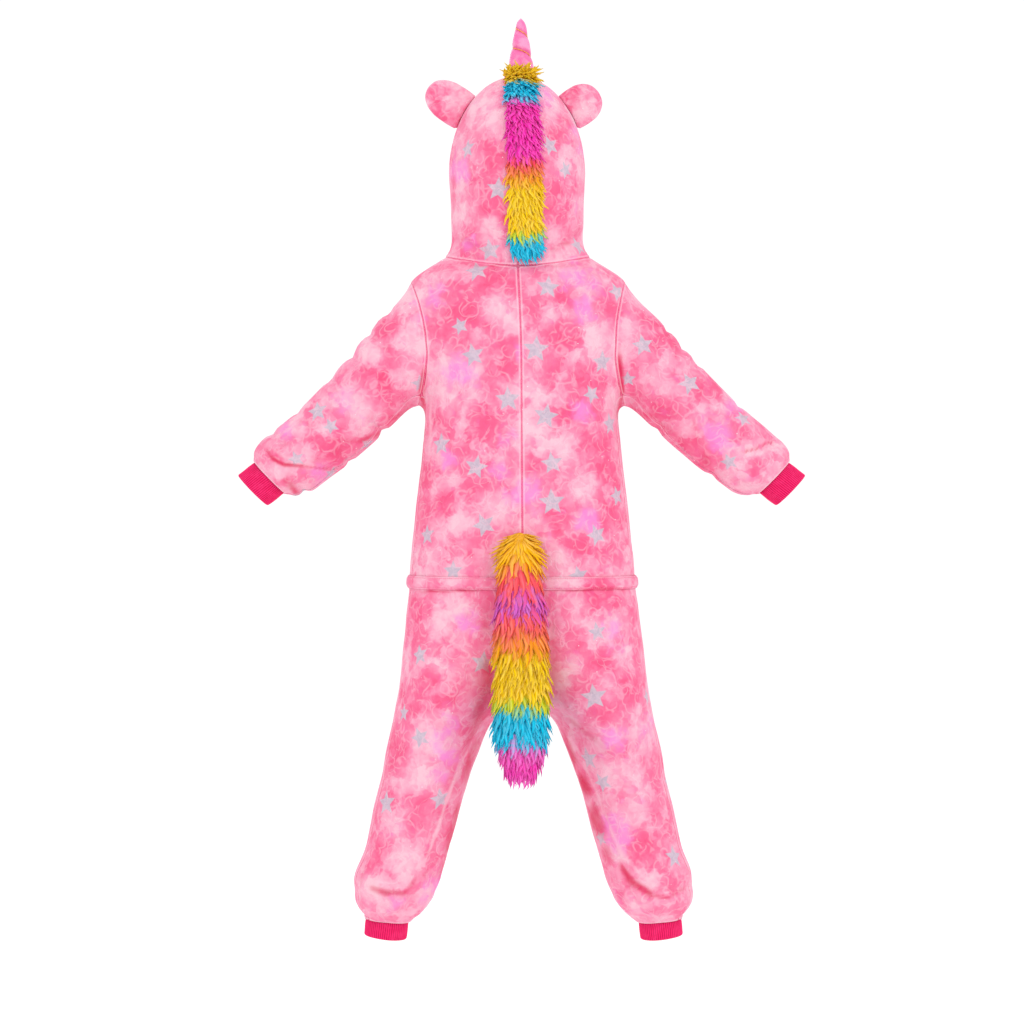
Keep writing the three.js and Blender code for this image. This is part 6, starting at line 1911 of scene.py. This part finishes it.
columns = []
for share in u:
    x = share * (MANE_HALF - 8) + MANE_DRIFT[0] - 3 + (MANE_DRIFT[1] - MANE_DRIFT[0]) * t
    guess = np.stack([x, middle[:, 1], middle[:, 2]], axis=1)
    columns.append(settle(guess, [(hood, 0), (held_at(0, x), 0), (beside_middle, 0)]))
grid = np.stack(columns, axis=1)
ends = np.minimum(1, 0.5 + 5 * t)[:, None] * np.minimum(1, 0.4 + 7 * (1 - t))[:, None]
high = (4.2 - 3.0 * np.abs(u) ** 4) * ends
splay = 0.26 * np.sign(u) * np.abs(u) ** 1.6
early = 1 - ease(0.0, 0.13, t)[:, None]
down, aside = (unit(np.gradient(grid, axis=axis)) for axis in (0, 1))
way = down * (1 - 1.2 * early)[..., None] + aside * (splay - 0.5 * early * u**3)[..., None]
way /= np.maximum(np.linalg.norm(way, axis=2, keepdims=True), 1e-6)
size = (0.92 - 0.12 * np.abs(u) ** 2) * (1 - 0.25 * ease(0.93, 1, t)[:, None]) * (1 + 0.1 * early)
grow = np.stack([size, 1 + 1.6 * early + 0 * size, 0 * size], axis=2)
mane_ground, _ = strip("mane_ground", hood, grid, high, 0.6 + 0 * high, MANE_FUR, {
    "flow": way.reshape(-1, 3), "band": np.repeat(t, len(u))[:, None] * [1, 0, 0],
    "grow": grow.reshape(-1, 3), "strand": np.zeros((grid[..., 0].size, 3)),
})
inner_face = mane_ground.data.attributes["grow"].data
for i in range(grid[..., 0].size, len(inner_face)):
    inner_face[i].vector = (0, 0, 0)
fur(
    "mane", mane_ground, {"Spacing": 0.0027, "Density": 220000.0, "Lift": 0.32, "Spread": 0.24, "Seed": 3},
    (0.0245, 0.0056), (0.09, 0.13, 0.17), 70, MANE_FUR,
)

TAIL_SHIFT, TAIL_LEVEL, TAIL_TOP, TAIL_LENGTH = 3.5, -540, -366, 341.0
TAIL_COLUMNS, TAIL_SLIM, TAIL_GAP = 60, 0.62, 1.0
heights = np.concatenate([[-369, -374], np.linspace(-380, -690, 90), [-695, -699]])
turn = TURN * np.arange(TAIL_COLUMNS) / TAIL_COLUMNS
behind = np.array([
    at(body, [0, 100, z], (centre_seam, 0), (height, z))[1] for z in np.maximum(heights, TAIL_LEVEL)
])
row = TAIL(heights)
middle_y = behind + row["gap"] + row["thick"]
rings = np.stack([
    TAIL_SHIFT + TAIL_SLIM * row["half"][:, None] * np.cos(turn),
    middle_y[:, None] + TAIL_SLIM * row["thick"][:, None] * np.sin(turn), heights[:, None] + 0 * turn,
], axis=2)
rings = clear(body, rings.reshape(-1, 3), TAIL_GAP).reshape(rings.shape)
points, faces = loft(rings, [TAIL_SHIFT, middle_y[0], -366.5], [TAIL_SHIFT, middle_y[-1], -702])
share = (TAIL_TOP - heights) / TAIL_LENGTH
fan = 1 - ease(0, 0.12, share)[:, None] + 0 * turn
narrows = ease(-610, -690, heights)[:, None]
flow = unit(np.stack([
    np.cos(turn) * (0.16 + 1.5 * fan - 0.5 * narrows), np.sin(turn) * (0.12 + 0.25 * fan), -1 + 0.3 * fan,
], axis=2))
fit = np.clip(0.72 + 0.9 * (row["half"] / 40.5 - 0.5), 0.62, 1.0) * (1 - 0.3 * narrows[:, 0])
fit[:2] = 0.6
fit[heights < -684] = 0
grow = np.stack([fit[:, None] + 0 * fan, 1 - 0.3 * fan, 0 * fan], axis=2)
band = np.concatenate([np.repeat(share, TAIL_COLUMNS), [0, 1]])
tail_ground = make_piece("tail_ground", place(points), faces, TAIL_FUR, {
    "flow": np.concatenate([flow.reshape(-1, 3), [[0, 0.8, -0.6], [0, 0, -1]]]), "band": band[:, None] * [1, 0, 0],
    "grow": np.concatenate([grow.reshape(-1, 3), [[0.45, 0.3, 0], [0, 1, 0]]]), "strand": np.zeros_like(points),
})
fur(
    "tail", tail_ground, {"Spacing": 0.0026, "Density": 260000.0, "Lift": 0.2, "Spread": 0.13, "Seed": 8},
    (0.038, 0.0068), (0.06, 0.085, 0.11), 80, TAIL_FUR,
)


# ---------------------------------------------------------------- buttons
for i in range(5):
    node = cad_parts[f"button_{i + 1}"]
    for slot_place in node.material_slots:
        slot_place.material = RESIN
    if not node.material_slots:
        node.data.materials.append(RESIN)


# ---------------------------------------------------------------- studio
FLOOR_Z, FLOOR_HALF = -1.2, 30
AIM = (0, 0, -0.35)
VIEW_HALF, VIEW_FAR = 0.717, 3.1


def paper_material():
    material, tree, shade, where = new_material("pale_paper", roughness=0.9, specular_ior_level=0.1)
    grain = noise(tree, where, 0.02, 3.0)
    base = mixed(tree, grain, colour(254, 254, 254), colour(255, 255, 255))
    tree.links.new(base, shade.inputs["Base Color"])
    return material


corners = [(x * FLOOR_HALF, y * FLOOR_HALF, FLOOR_Z) for x, y in ((-1, -1), (1, -1), (1, 1), (-1, 1))]
make_piece("studio_floor", np.array(corners), [[0, 1, 2, 3]], paper_material())

world = bpy.data.worlds.new("soft_white")
bpy.context.scene.world = world
world.use_nodes = True
light_all_round, strength = world.node_tree.nodes["Background"].inputs[:2]
light_all_round.default_value = WHITE
strength.default_value = 1.06


def soft_light(name, stands, size, power):
    light = bpy.data.lights.new(name, "AREA")
    light.shape, light.size, light.energy = "SQUARE", size, power
    piece = linked(name, light)
    piece.location = stands
    piece.rotation_euler = (Vector(AIM) - Vector(stands)).to_track_quat("-Z", "Y").to_euler()


soft_light("key", (-1.6, 2.6, 1.5), 1.4, 15)
soft_light("fill", (2.2, 2.2, 0.6), 1.8, 5)
soft_light("front", (0.6, -2.6, 1.2), 1.8, 14)

lens = bpy.data.cameras.new("camera")
lens.sensor_fit, lens.angle = "HORIZONTAL", 2 * math.atan(VIEW_HALF / VIEW_FAR)
camera = linked("camera", lens)
camera.location = CAMERA * MM
camera.rotation_euler = (math.radians(90), 0, math.radians(180))
bpy.context.scene.camera = camera
bpy.context.scene.view_settings.view_transform = "Standard"
